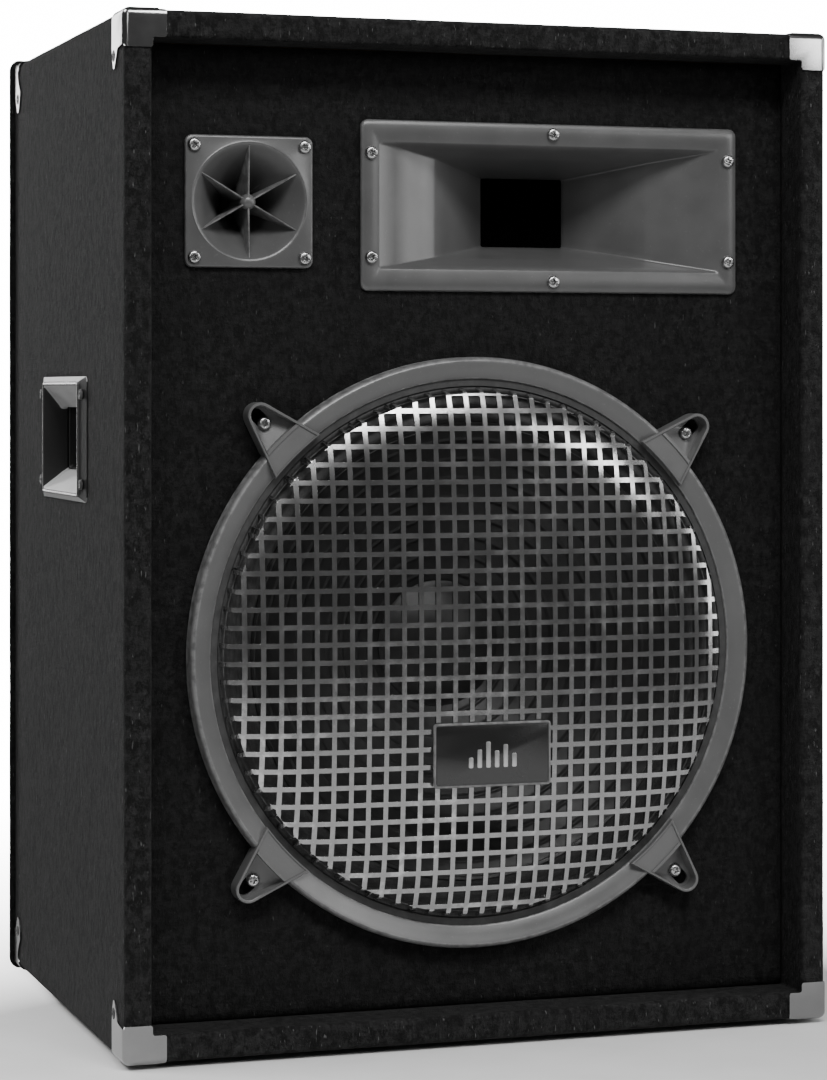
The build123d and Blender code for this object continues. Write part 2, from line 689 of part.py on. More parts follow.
half_count = int(BASKET_RADIUS / MESH_PITCH)
rows = range(-half_count, half_count + 1)
hole = MESH_PITCH - MESH_BAR
hole_reach = DOME_EDGE - 4.0
hole_points = [
    (i * MESH_PITCH, j * MESH_PITCH)
    for i in rows
    for j in rows
    if (abs(i) * MESH_PITCH + hole / 2) ** 2 + (abs(j) * MESH_PITCH + hole / 2) ** 2 < hole_reach ** 2
]
lattice_plane = Plane(origin=(WOOFER[0], MESH_SEAT, WOOFER[1]), x_dir=(1, 0, 0), z_dir=(0, -1, 0))
lattice_face = Face(
    Wire.make_circle(BASKET_RADIUS + 1, lattice_plane),
    [
        Wire.make_rect(hole, hole, lattice_plane.shift_origin(lattice_plane.from_local_coords((x, y, 0))))
        for x, y in hole_points
    ],
)
with BuildPart() as lattice:
    extrude(lattice_face, amount=DOME_HEIGHT + 10, dir=(0, -1, 0))
with BuildPart() as grille_mesh:
    add(mesh_shell.part)
    add(lattice.part, mode=Mode.INTERSECT)
pieces["grille_mesh"] = grille_mesh.part

CLAMP_OVER = 1.5
CLAMP_WALL = 2.2
CLAMP_TIP = 9.0
CLAMP_HALF = 17.5
CLAMP_BAND = 20.5
CLAMP_NECK = (219.0, 7.0)
CLAMP_POCKET = [(RING_RADIUS + 3.0, 14.0), (214.0, 6.5)]
clamp_front = BAFFLE_FACE - RING_HEIGHT - CLAMP_OVER


def mirrored(points):
    """Points of a half outline and their mirror images, as one closed outline about the X axis."""
    return [(x, -y) for x, y in points] + points[::-1]


with BuildPart() as clamp_blank:
    with BuildSketch(Plane(origin=(0, BAFFLE_FACE, 0), x_dir=(1, 0, 0), z_dir=(0, -1, 0))):
        with BuildLine():
            Polyline(*mirrored([(ring_inner, CLAMP_BAND), (RING_RADIUS, CLAMP_HALF), CLAMP_NECK]), close=True)
        make_face()
        with Locations((CLAMP_TIP_RADIUS - CLAMP_TIP, 0)):
            Circle(CLAMP_TIP)
    extrude(amount=RING_HEIGHT + CLAMP_OVER)
    with BuildSketch(Plane(origin=(0, clamp_front, 0), x_dir=(1, 0, 0), z_dir=(0, -1, 0))):
        with BuildLine():
            Polyline(*mirrored(CLAMP_POCKET), close=True)
        make_face()
        with Locations((CLAMP_TIP_RADIUS - CLAMP_TIP, 0)):
            Circle(CLAMP_TIP - CLAMP_WALL)
    extrude(amount=-(RING_HEIGHT + CLAMP_OVER - CLAMP_FLOOR), mode=Mode.SUBTRACT)

with BuildPart() as grille_clamps:
    for angle in clamp_angles:
        with Locations(Location((WOOFER[0], 0, WOOFER[1]), (0, 1, 0), -angle)):
            add(clamp_blank.part)
    add(tube(100.0, RING_RADIUS + 0.2, ring_front - 0.05, BAFFLE_FACE + 1), mode=Mode.SUBTRACT)
    add(holes["baffle_screws"], mode=Mode.SUBTRACT)
pieces["grille_clamps"] = grille_clamps.part

BADGE_THICK = 2.0
badge_back = dome_top - 0.2
with BuildPart() as badge:
    with BuildSketch(facing(badge_back)):
        with Locations(BADGE_AT):
            RectangleRounded(*BADGE_SIZE, 2.0)
    extrude(amount=BADGE_THICK)
    with BuildSketch(facing(badge_back - BADGE_THICK)):
        with Locations(BADGE_AT):
            RectangleRounded(BADGE_SIZE[0] - 4, BADGE_SIZE[1] - 4, 1.0)
    extrude(amount=-0.6, mode=Mode.SUBTRACT)
    with BuildSketch(facing(badge_back)):
        with Locations(*shifted([(-30, 0), (30, 0)], BADGE_AT)):
            Circle(2.0)
    extrude(amount=-7.0)
    add(pieces["grille_mesh"], mode=Mode.SUBTRACT)
pieces["badge"] = badge.part

# ----------------------------------------------------------------- mid horn
horn_face = BAFFLE_FACE - HORN_FLANGE_THICK
crease_y = horn_face + CREASE_DEPTH
throat_y = horn_face + THROAT_DEPTH
neck_y = throat_y + 14.0
FLANGE_BACK_FRACTION = HORN_FLANGE_THICK / CREASE_DEPTH


def horn_section(y, size, grow=0.0):
    """Rectangle across the horn at depth y."""
    with BuildSketch(facing(y)) as section:
        with Locations(HORN):
            Rectangle(size[0] + 2 * grow, size[1] + 2 * grow)
    return section.sketch.faces()[0]


with BuildPart() as horn_core:
    loft([horn_section(horn_face, HORN_MOUTH), horn_section(crease_y, HORN_CREASE)], ruled=True)
    loft([horn_section(crease_y, HORN_CREASE), horn_section(throat_y, HORN_THROAT)], ruled=True)

back_size = [m - (m - c) * FLANGE_BACK_FRACTION for m, c in zip(HORN_MOUTH, HORN_CREASE)]
with BuildPart() as mid_horn:
    with BuildSketch(facing(BAFFLE_FACE)):
        with Locations(HORN):
            RectangleRounded(*HORN_FLANGE, 5.0)
    extrude(amount=HORN_FLANGE_THICK)
    chamfer(mid_horn.edges().group_by(Axis.Y)[0], 1.0)
    loft(
        [horn_section(BAFFLE_FACE, back_size, HORN_WALL), horn_section(crease_y, HORN_CREASE, HORN_WALL)],
        ruled=True,
    )
    loft(
        [horn_section(crease_y, HORN_CREASE, HORN_WALL), horn_section(throat_y, HORN_THROAT, HORN_WALL)],
        ruled=True,
    )
    extrude(horn_section(throat_y, HORN_THROAT, HORN_WALL), amount=neck_y - throat_y, dir=(0, 1, 0))
    add(horn_core.part, mode=Mode.SUBTRACT)
    with BuildSketch(facing(neck_y - 4.0)):
        with Locations(HORN):
            Circle(44.0)
    extrude(amount=-4.0)
    with BuildSketch(facing(throat_y - 0.5)):
        with Locations(HORN):
            Rectangle(HORN_THROAT[0] - 0.4, HORN_THROAT[1] - 0.4)
    extrude(amount=-8.0, mode=Mode.SUBTRACT)
    with BuildSketch(facing(throat_y)):
        with Locations(HORN):
            Circle(12.7)
    extrude(amount=-20.0, mode=Mode.SUBTRACT)
    add(holes["baffle_screws"], mode=Mode.SUBTRACT)
pieces["mid_horn"] = mid_horn.part

with BuildPart() as mid_driver:
    with BuildSketch(facing(neck_y)):
        with Locations(HORN):
            Circle(44.0)
    extrude(amount=-12.0)
    with BuildSketch(facing(neck_y + 12.0)):
        with Locations(HORN):
            Circle(50.0)
    extrude(amount=-24.0)
    fillet(mid_driver.edges().group_by(Axis.Y)[-1], 3.0)
    with BuildSketch(facing(neck_y + 36.0)):
        with Locations(HORN):
            Circle(34.0)
    extrude(amount=-6.0)
    with BuildSketch(facing(neck_y)):
        with Locations(HORN):
            Circle(12.7)
    extrude(amount=-8.0, mode=Mode.SUBTRACT)
pieces["mid_driver"] = mid_driver.part

# ------------------------------------------------------------------ tweeter
tweeter_face = BAFFLE_FACE - TWEETER_FLANGE_THICK
tweeter_end = tweeter_face + TWEETER_DEPTH
TWEETER_WALL = 2.5
TWEETER_AXIS = Axis((TWEETER[0], 0, TWEETER[1]), (0, 1, 0))
with BuildPart() as flare:
    with BuildSketch(radial(TWEETER)):
        with BuildLine():
            mouth = Line((0, tweeter_face), (TWEETER_MOUTH, tweeter_face))
            curve = ThreePointArc(mouth @ 1, (20.5, tweeter_face + 20.0), (TWEETER_THROAT, tweeter_end))
            Polyline(curve @ 1, (0, tweeter_end), (0, tweeter_face))
        make_face()
    revolve(axis=TWEETER_AXIS)

with BuildPart() as tweeter_horn:
    with BuildSketch(facing(BAFFLE_FACE)):
        with Locations(TWEETER):
            RectangleRounded(TWEETER_FLANGE, TWEETER_FLANGE, 5.0)
    extrude(amount=TWEETER_FLANGE_THICK)
    chamfer(tweeter_horn.edges().group_by(Axis.Y)[0], 1.0)
    with BuildSketch(radial(TWEETER)):
        with BuildLine():
            start = (TWEETER_MOUTH + 1.2, BAFFLE_FACE)
            end = (TWEETER_THROAT + TWEETER_WALL, tweeter_end)
            curve = ThreePointArc(start, (23.5, tweeter_face + 20.0), end)
            Polyline(curve @ 1, (0, tweeter_end), (0, BAFFLE_FACE), start)
        make_face()
    revolve(axis=TWEETER_AXIS)
    add(flare.part, mode=Mode.SUBTRACT)
    for i in range(FIN_COUNT):
        turn = Location((TWEETER[0], 0, TWEETER[1]), (0, 1, 0), 30.0 + 360 / FIN_COUNT * i)
        with BuildSketch(Plane(turn * radial((0, 0)).location)):
            with BuildLine():
                Polyline(
                    (0, tweeter_face + 3.0),
                    (TWEETER_MOUTH - 0.5, tweeter_face + 0.6),
                    (24.0, tweeter_face + 19.0),
                    (TWEETER_THROAT + 1, tweeter_end),
                    (0, tweeter_end),
                    close=True,
                )
            make_face()
        extrude(amount=FIN_THICK / 2, both=True)
    with BuildSketch(radial(TWEETER)):
        with BuildLine():
            nose = ThreePointArc(
                (0, tweeter_face + 0.5),
                (BULLET_RADIUS * 0.72, tweeter_face + 2.0),
                (BULLET_RADIUS, tweeter_face + 5.0),
            )
            Polyline(nose @ 1, (BULLET_RADIUS - 2, tweeter_end), (0, tweeter_end), nose @ 0)
        make_face()
    revolve(axis=TWEETER_AXIS)
    add(holes["baffle_screws"], mode=Mode.SUBTRACT)
pieces["tweeter_horn"] = tweeter_horn.part

with BuildPart() as tweeter_housing:
    with BuildSketch(facing(tweeter_end)):
        with Locations(TWEETER):
            Circle(26.0)
    extrude(amount=-20.0)
    fillet(tweeter_housing.edges().group_by(Axis.Y)[-1], 3.0)
    with BuildSketch(facing(tweeter_end)):
        with Locations(TWEETER):
            Circle(8.0)
    extrude(amount=-4.0, mode=Mode.SUBTRACT)
    with Locations(*[(TWEETER[0] + x, tweeter_end + 23.0, TWEETER[1]) for x in (-8.0, 8.0)]):
        Box(0.8, 7.0, 6.3)
pieces["tweeter_housing"] = tweeter_housing.part

# ------------------------------------------------------------ terminal dish
dish_face = BACK + CAP_PROUD
dish_floor = dish_face - DISH_DEPTH
JACK_Z = DISH[1] + 16.0
POST_Z = DISH[1] - 16.0
JACK_NUT = 7.5
jack_points = [(i * JACK_SPACING / 2, JACK_Z) for i in (-1, 1)]
post_points = [(i * POST_SPACING / 2, POST_Z) for i in (-1, 1)]
POST_HOLE = 4.0
JACK_HOLE = 5.0
with BuildPart() as terminal_dish:
    with BuildSketch(facing(BACK)):
        with Locations(DISH):
            RectangleRounded(*DISH_FLANGE, 6.0)
    extrude(amount=-CAP_PROUD)
    with BuildSketch(facing(BACK)):
        with Locations(DISH):
            Rectangle(*DISH_CUT)
    extrude(amount=BACK - dish_floor + DISH_WALL)
    with BuildSketch(facing(dish_floor)):
        with Locations(DISH):
            Rectangle(*DISH_MOUTH)
    extrude(amount=-(DISH_DEPTH + 1), mode=Mode.SUBTRACT)
    with BuildSketch(facing(dish_floor)):
        with Locations(*jack_points):
            Circle(JACK_HOLE)
        with Locations(*post_points):
            Circle(POST_HOLE)
    extrude(amount=2 * DISH_WALL, mode=Mode.SUBTRACT)
    add(holes["back_screws"], mode=Mode.SUBTRACT)
pieces["terminal_dish"] = terminal_dish.part

JACK_LENGTH = 28.0
with BuildPart() as jack_sockets:
    with BuildSketch(facing(dish_floor - DISH_WALL)):
        with Locations(*jack_points):
            Rectangle(18.0, 20.0)
    extrude(amount=JACK_LENGTH - 6.0)
    with BuildSketch(facing(dish_floor - DISH_WALL)):
        with Locations(*jack_points):
            Circle(JACK_HOLE)
    extrude(amount=-(DISH_WALL + 4.0))
    with BuildSketch(facing(dish_floor)):
        with Locations(*jack_points):
            RegularPolygon(JACK_NUT, 6)
    extrude(amount=-2.6)
    with BuildSketch(facing(dish_floor + 4.0)):
        with Locations(*jack_points):
            Circle(JACK_BORE)
    extrude(amount=JACK_LENGTH, mode=Mode.SUBTRACT)
pieces["jack_sockets"] = jack_sockets.part

POST_THREAD = 3.0
BANANA_BORE = 2.05
POST_LENGTH = 19.0
with BuildPart() as post_bases:
    with BuildSketch(facing(dish_floor)):
        with Locations(*post_points):
            Circle(7.5)
    extrude(amount=-4.0)
    with BuildSketch(facing(dish_floor)):
        with Locations(*post_points):
            Circle(POST_HOLE)
    extrude(amount=DISH_WALL)
    with BuildSketch(facing(dish_floor - DISH_WALL)):
        with Locations(*post_points):
            RegularPolygon(5.5, 6)
    extrude(amount=3.0)
    with BuildSketch(facing(dish_floor - DISH_WALL)):
        with Locations(*post_points):
            Circle(POST_THREAD)
    extrude(amount=12.0)
    with BuildSketch(facing(dish_floor)):
        with Locations(*post_points):
            Circle(POST_THREAD)
    extrude(amount=-POST_LENGTH)
    with BuildSketch(facing(dish_floor + POST_LENGTH)):
        with Locations(*post_points):
            Circle(BANANA_BORE)
    extrude(amount=POST_LENGTH - 3.0, mode=Mode.SUBTRACT)
pieces["post_bases"] = post_bases.part

POST_CAP_RADIUS = 6.5
POST_CAP_START = 6.0
GRIP_FLUTES = 12
for name, point in (("post_cap_red", post_points[1]), ("post_cap_black", post_points[0])):
    with BuildPart() as post_cap:
        with BuildSketch(facing(dish_floor + POST_CAP_START)):
            with Locations(point):
                Circle(POST_CAP_RADIUS)
                with PolarLocations(POST_CAP_RADIUS + 0.5, GRIP_FLUTES):
                    Circle(1.0, mode=Mode.SUBTRACT)
        extrude(amount=-(POST_LENGTH - POST_CAP_START + 1.0))
        with BuildSketch(facing(dish_floor)):
            with Locations(point):
                Circle(POST_THREAD + 0.08)
        extrude(amount=-(POST_LENGTH + 4.0), mode=Mode.SUBTRACT)
    pieces[name] = post_cap.part

# ---------------------------------------------------------------- crossover
XOVER = (-120.0, 105.0)
XOVER_Z = INSIDE_BOTTOM + 8.0
xover_plane = Plane.XY.offset(XOVER_Z)
PCB = 1.6
spacer_points = shifted(four(52.0, 32.0), XOVER)
with BuildPart() as crossover_board:
    with BuildSketch(xover_plane):
        with Locations(XOVER):
            RectangleRounded(120.0, 80.0, 3.0)
        with Locations(*spacer_points):
            Circle(1.7, mode=Mode.SUBTRACT)
    extrude(amount=PCB)
pieces["crossover_board"] = crossover_board.part

with BuildPart() as crossover_spacers:
    with BuildSketch(Plane.XY.offset(INSIDE_BOTTOM)):
        with Locations(*spacer_points):
            Circle(4.0)
            Circle(1.7, mode=Mode.SUBTRACT)
    extrude(amount=XOVER_Z - INSIDE_BOTTOM)
pieces["crossover_spacers"] = crossover_spacers.part

component_base = xover_plane.offset(PCB)
with BuildPart() as crossover_coils:
    for x, y, radius, height in ((-30.0, 14.0, 19.0, 18.0), (16.0, 16.0, 15.0, 14.0)):
        with BuildSketch(component_base):
            with Locations((XOVER[0] + x, XOVER[1] + y)):
                Circle(radius)
                Circle(radius * 0.42, mode=Mode.SUBTRACT)
        extrude(amount=height)
pieces["crossover_coils"] = crossover_coils.part

with BuildPart() as crossover_capacitors:
    for y, radius in ((-14.0, 8.0), (-30.5, 6.0)):
        with BuildSketch(Plane.YZ.offset(XOVER[0] - 38.0)):
            with Locations((XOVER[1] + y, XOVER_Z + PCB + radius)):
                Circle(radius)
        extrude(amount=34.0)
pieces["crossover_capacitors"] = crossover_capacitors.part
pieces["crossover_resistor"] = board(48.0, 9.5, 9.5, (XOVER[0] + 28, XOVER[1] - 22, XOVER_Z + PCB + 4.75))

# ------------------------------------------------------------------- wiring
WIRE_RADIUS = 2.2


def wire(*points):
    """Round lead along straight runs joined by arcs as large as each pair of runs allows."""
    runs = [Vector(*b) - Vector(*a) for a, b in zip(points, points[1:])]
    radii = [
        0.45 * min(p.length, q.length) / tan(radians(p.get_angle(q)) / 2)
        for p, q in zip(runs, runs[1:])
    ]
    with BuildPart() as lead:
        with BuildLine() as path:
            FilletPolyline(*points, radius=radii)
        with BuildSketch(Plane(origin=path.line @ 0, z_dir=path.line % 0)):
            Circle(WIRE_RADIUS)
        sweep()
    print("lead", round(path.wire().length), "mm, tightest bend", round(min(radii)), "mm")
    return lead.part


leads = {}
post_end = dish_floor - DISH_WALL - 12.0
leads["input_lead"] = wire(
    (post_points[0][0], post_end, POST_Z),
    (post_points[0][0], post_end - 24, POST_Z),
    (-60, 100, 240),
    (-84, 100, 80),
    (-84, 100, XOVER_Z + PCB),
)
leads["woofer_lead"] = wire(
    (-120, 70, XOVER_Z + PCB),
    (-120, 70, 75),
    (-130, 60, 120),
    (-130, 20, 300),
    (-60, -30, 366),
    (-8, tag_y, tag_z + 30),
    (-8, tag_y, tag_z + 11.5),
)
leads["horn_lead"] = wire(
    (-172, 90, XOVER_Z + PCB),
    (-172, 90, 80),
    (-190, 110, 140),
    (-190, 110, 430),
    (-60, 110, 500),
    (HORN[0], neck_y + 80, HORN[1]),
    (HORN[0], neck_y + 42, HORN[1]),
)
leads["tweeter_lead"] = wire(
    (TWEETER[0] + 8, tweeter_end + 26.5, TWEETER[1]),
    (TWEETER[0] + 8, tweeter_end + 60, TWEETER[1]),
    (-40, 10, 540),
    (HORN[0] - 12, neck_y + 60, HORN[1]),
    (HORN[0] - 12, neck_y + 42, HORN[1]),
)

with BuildPart() as wiring:
    for lead in leads.values():
        add(lead)
pieces["wiring"] = wiring.part

# ------------------------------------------------------------------- export
for name, piece in pieces.items():
    piece.label = name
    export_step(piece, f"parts/{name}.step")
print(len(pieces), "sub-parts")
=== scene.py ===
"""Looks of the carpet-covered loudspeaker cabinet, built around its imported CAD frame.

Shapes are worked out in millimetres and written to meshes in metres, in the frame's own axes:
X to the right, -Y out of the front, +Z up, with the origin on the floor below the cabinet.
"""

from math import asin, atan2, cos, hypot, pi, radians, sin, sqrt, tan

import bmesh
import bpy
from mathutils import Matrix, Vector, noise


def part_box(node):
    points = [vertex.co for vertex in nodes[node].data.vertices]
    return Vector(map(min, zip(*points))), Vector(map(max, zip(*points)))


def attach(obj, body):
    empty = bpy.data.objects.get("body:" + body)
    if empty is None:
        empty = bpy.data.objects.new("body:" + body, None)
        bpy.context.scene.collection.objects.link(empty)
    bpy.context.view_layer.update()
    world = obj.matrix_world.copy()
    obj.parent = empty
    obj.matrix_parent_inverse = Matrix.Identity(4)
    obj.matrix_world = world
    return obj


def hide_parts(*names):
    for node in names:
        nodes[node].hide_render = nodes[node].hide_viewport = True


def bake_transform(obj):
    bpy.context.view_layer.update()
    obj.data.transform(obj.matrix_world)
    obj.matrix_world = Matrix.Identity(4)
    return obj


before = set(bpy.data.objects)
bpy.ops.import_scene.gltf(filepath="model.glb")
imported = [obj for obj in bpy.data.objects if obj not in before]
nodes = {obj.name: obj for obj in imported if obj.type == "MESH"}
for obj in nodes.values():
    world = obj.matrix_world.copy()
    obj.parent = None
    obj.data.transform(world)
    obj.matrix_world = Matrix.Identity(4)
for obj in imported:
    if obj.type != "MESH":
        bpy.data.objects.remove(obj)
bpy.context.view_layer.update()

MM = 0.001


def span(node):
    """Lowest and highest corner of a CAD node, in millimetres."""
    low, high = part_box(node)
    return low / MM, high / MM


def front_view(node):
    """Middle and size of a CAD node seen from the front, as (x, z) pairs in millimetres."""
    low, high = span(node)
    return ((low.x + high.x) / 2, (low.z + high.z) / 2), (high.x - low.x, high.z - low.z)


# ------------------------------------------------------------------ camera
CAMERA_AT = (-0.6735, -2.0844, 0.4298)
CAMERA_TURN = 18.158
CAMERA_LENS = 102.67
CAMERA_SHIFT = -0.1398


def added(name, data):
    """New object in the scene."""
    thing = bpy.data.objects.new(name, data)
    bpy.context.scene.collection.objects.link(thing)
    return thing


camera = added("camera", bpy.data.cameras.new("camera"))
camera.location = CAMERA_AT
camera.rotation_euler = (radians(90), 0, radians(-CAMERA_TURN))
camera.data.lens = CAMERA_LENS
camera.data.sensor_width = 36
camera.data.shift_y = CAMERA_SHIFT
bpy.context.scene.camera = camera

# ------------------------------------------------------ sizes from the frame
wrap_low, wrap_high = span("carpet_wrap")
SIDE = wrap_high.x
FRONT, BACK = wrap_low.y, wrap_high.y
LOW, TOP = wrap_low.z, wrap_high.z
HALF_HEIGHT = (TOP - LOW) / 2
MIDDLE = (TOP + LOW) / 2
BAFFLE_FACE = span("baffle_carpet")[0].y
RETURN_INSET = SIDE - span("baffle_carpet")[1].x

WOOFER, ring_size = front_view("grille_ring")
RING_RADIUS = ring_size[0] / 2
RING_WIDTH = 14.5
RING_INNER = RING_RADIUS - RING_WIDTH
RING_FRONT = span("grille_ring")[0].y
MESH_TOP, MESH_SEAT = (corner.y for corner in span("grille_mesh"))


# ---------------------------------------------------------- mesh making
def build(name, points, faces, body="cabinet", sharp=32):
    """Object from points in millimetres, with outward normals and smooth shading between sharp edges."""
    mesh = bpy.data.meshes.new(name)
    mesh.from_pydata([[v * MM for v in p] for p in points], [], [tuple(f) for f in faces])
    work = bmesh.new()
    work.from_mesh(mesh)
    bmesh.ops.remove_doubles(work, verts=work.verts, dist=1e-7)
    bmesh.ops.dissolve_degenerate(work, edges=work.edges, dist=1e-8)
    loose = [v for v in work.verts if not v.link_faces]
    bmesh.ops.delete(work, geom=loose, context="VERTS")
    bmesh.ops.recalc_face_normals(work, faces=work.faces)
    work.to_mesh(mesh)
    work.free()
    return place(name, mesh, body, sharp)


def place(name, mesh, body="cabinet", sharp=32):
    mesh.shade_smooth()
    mesh.set_sharp_from_angle(angle=radians(sharp))
    thing = added(name, mesh)
    if body:
        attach(thing, body)
    return thing


def skin(loops, closed=False, start_cap=False, end_cap=False):
    """Points and faces of a skin through loops that all have the same number of points."""
    count = len(loops[0])
    points = [p for loop in loops for p in loop]
    faces = []
    for row in range(len(loops) if closed else len(loops) - 1):
        a = row * count
        b = (row + 1) % len(loops) * count
        faces += [(a + i, a + (i + 1) % count, b + (i + 1) % count, b + i) for i in range(count)]
    if start_cap:
        faces.append(range(count))
    if end_cap:
        faces.append(range(len(points) - count, len(points)))
    return points, faces


def merged(parts):
    """One set of points and faces from several."""
    points, faces = [], []
    for more_points, more_faces in parts:
        start = len(points)
        points += more_points
        faces += [[start + i for i in face] for face in more_faces]
    return points, faces


def circle(radius, count):
    return [(radius * cos(2 * pi * i / count), radius * sin(2 * pi * i / count)) for i in range(count)]


def lathe(profile, centre, segments=144, closed=True):
    """Skin turned about a front-to-back axis through (x, z), from (radius, depth) points."""
    return skin([facing(circle(radius, segments), depth, centre) for radius, depth in profile], closed=closed)


def shifted(profile, radius, depth):
    """Profile given from a radius and a depth."""
    return [(radius + u, depth + v) for u, v in profile]


def swung(outline, turn, centre):
    """Points (out, across, depth) on a ray from a centre, swung round it by an angle."""
    return [
        (centre[0] + u * cos(turn) - v * sin(turn), depth, centre[1] + u * sin(turn) + v * cos(turn))
        for u, v, depth in outline
    ]


def grid_faces(width, height, wanted):
    """Quads between the points of a grid, where wanted(column, row) says yes."""
    cells = [j * width + i for j in range(height - 1) for i in range(width - 1) if wanted(i, j)]
    return [(a, a + 1, a + 1 + width, a + width) for a in cells]


def facing(outline, depth, centre=(0, 0)):
    """A flat outline set across the cabinet at one depth."""
    return [(u + centre[0], depth, v + centre[1]) for u, v in outline]


def rounded_rect(width, height, radius, corner_steps=5, side_steps=8):
    """Points of a rectangle with round corners, anticlockwise from its lower right corner."""
    points = []
    for quarter in range(4):
        sx = 1 if quarter in (0, 1) else -1
        sy = 1 if quarter in (1, 2) else -1
        cx, cy = sx * (width / 2 - radius), sy * (height / 2 - radius)
        start = -90 + 90 * quarter
        arc = [
            (cx + radius * cos(radians(start + 90 * k / corner_steps)),
             cy + radius * sin(radians(start + 90 * k / corner_steps)))
            for k in range(corner_steps + 1)
        ]
        if points:
            points += between(points[-1], arc[0], side_steps)
        points += arc
    return points + between(points[-1], points[0], side_steps)


def between(a, b, steps):
    """Evenly spaced points strictly between two points."""
    return [tuple(p + (q - p) * k / steps for p, q in zip(a, b)) for k in range(1, steps)]


def grown(size, steps):
    """Sections (width, height, corner radius, depth) from a size and (growth, radius, depth) steps."""
    return [(size[0] + more, size[1] + more, radius, depth) for more, radius, depth in steps]


def rect_loops(sections, centre, corner_steps=5, side_steps=8):
    """Round-cornered rectangles across the cabinet, from (width, height, radius, depth) sections."""
    return [facing(rounded_rect(w, h, r, corner_steps, side_steps), y, centre) for w, h, r, y in sections]


def rounded_outline(corners, radius, steps=4):
    """Closed outline through corner points, each corner an arc no larger than its runs allow."""
    points = []
    count = len(corners)
    for i in range(count):
        before, here, after = (Vector(corners[(i + k) % count]) for k in (-1, 0, 1))
        into, out = (before - here), (after - here)
        half = into.angle(out) / 2
        reach = min(radius / tan(half), 0.45 * min(into.length, out.length))
        arc_radius = reach * tan(half)
        start, end = here + into.normalized() * reach, here + out.normalized() * reach
        centre = here + (into.normalized() + out.normalized()).normalized() * (arc_radius / sin(half))
        for k in range(steps + 1):
            ray = (start - centre).lerp(end - centre, k / steps).normalized()
            points.append(tuple(centre + ray * arc_radius))
    return points


def outward(thing, axis, sign):
    """Turns an open skin so that its face furthest along an axis looks that way."""
    furthest = max(thing.data.polygons, key=lambda face: sign * face.center[axis])
    if furthest.normal[axis] * sign < 0:
        thing.data.flip_normals()
    return thing


def uneven(thing, amount, size):
    """Moves the surface in and out by a smooth noise, as cloth over boards does."""
    moves = []
    for vertex in thing.data.vertices:
        shift = noise.noise(vertex.co / (size * MM)) - 1
        moves.append(vertex.co + vertex.normal * shift * amount / 2 * MM)
    thing.data.vertices.foreach_set("co", [v for place in moves for v in place])
    thing.data.update()
    return thing


def thicken(thing, thickness):
    """Gives a skin a thickness behind it."""
    modifier = thing.modifiers.new("thickness", "SOLIDIFY")
    modifier.thickness = thickness * MM
    modifier.offset = -1.0
    modifier.use_even_offset = True
    return thing


def round_edges(thing, width, angle):
    """Rounds the edges that are sharper than an angle."""
    modifier = thing.modifiers.new("edges", "BEVEL")
    modifier.width = width * MM
    modifier.segments = 2
    modifier.limit_method = "ANGLE"
    modifier.angle_limit = radians(angle)
    modifier.harden_normals = True
    return thing


def settle(thing):
    """Applies a piece's modifiers to its mesh."""
    graph = bpy.context.evaluated_depsgraph_get()
    mesh = bpy.data.meshes.new_from_object(thing.evaluated_get(graph), depsgraph=graph)
    thing.modifiers.clear()
    thing.data = mesh
    return thing


def dressed(thing, material, stands_for=()):
    """Gives a piece its material and hides the CAD nodes that it stands for."""
    thing.data.materials.clear()
    thing.data.materials.append(material)
    if stands_for:
        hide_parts(*([stands_for] if isinstance(stands_for, str) else stands_for))
    return thing


def islands(node):
    """Lowest and highest corner of each separate solid in a CAD node, in millimetres."""
    work = bmesh.new()
    work.from_mesh(nodes[node].data)
    bmesh.ops.remove_doubles(work, verts=work.verts, dist=1e-6)
    left = set(work.verts)
    boxes = []
    while left:
        queue = [min(left, key=lambda v: v.index)]
        group = set(queue)
        while queue:
            for edge in queue.pop().link_edges:
                for vertex in edge.verts:
                    if vertex not in group:
                        group.add(vertex)
                        queue.append(vertex)
        left -= group
        low = Vector([min(v.co[i] for v in group) for i in range(3)]) / MM
        high = Vector([max(v.co[i] for v in group) for i in range(3)]) / MM
        boxes.append((low, high))
    work.free()
    return sorted(boxes, key=lambda b: tuple(round(v, 1) for v in b[0]))


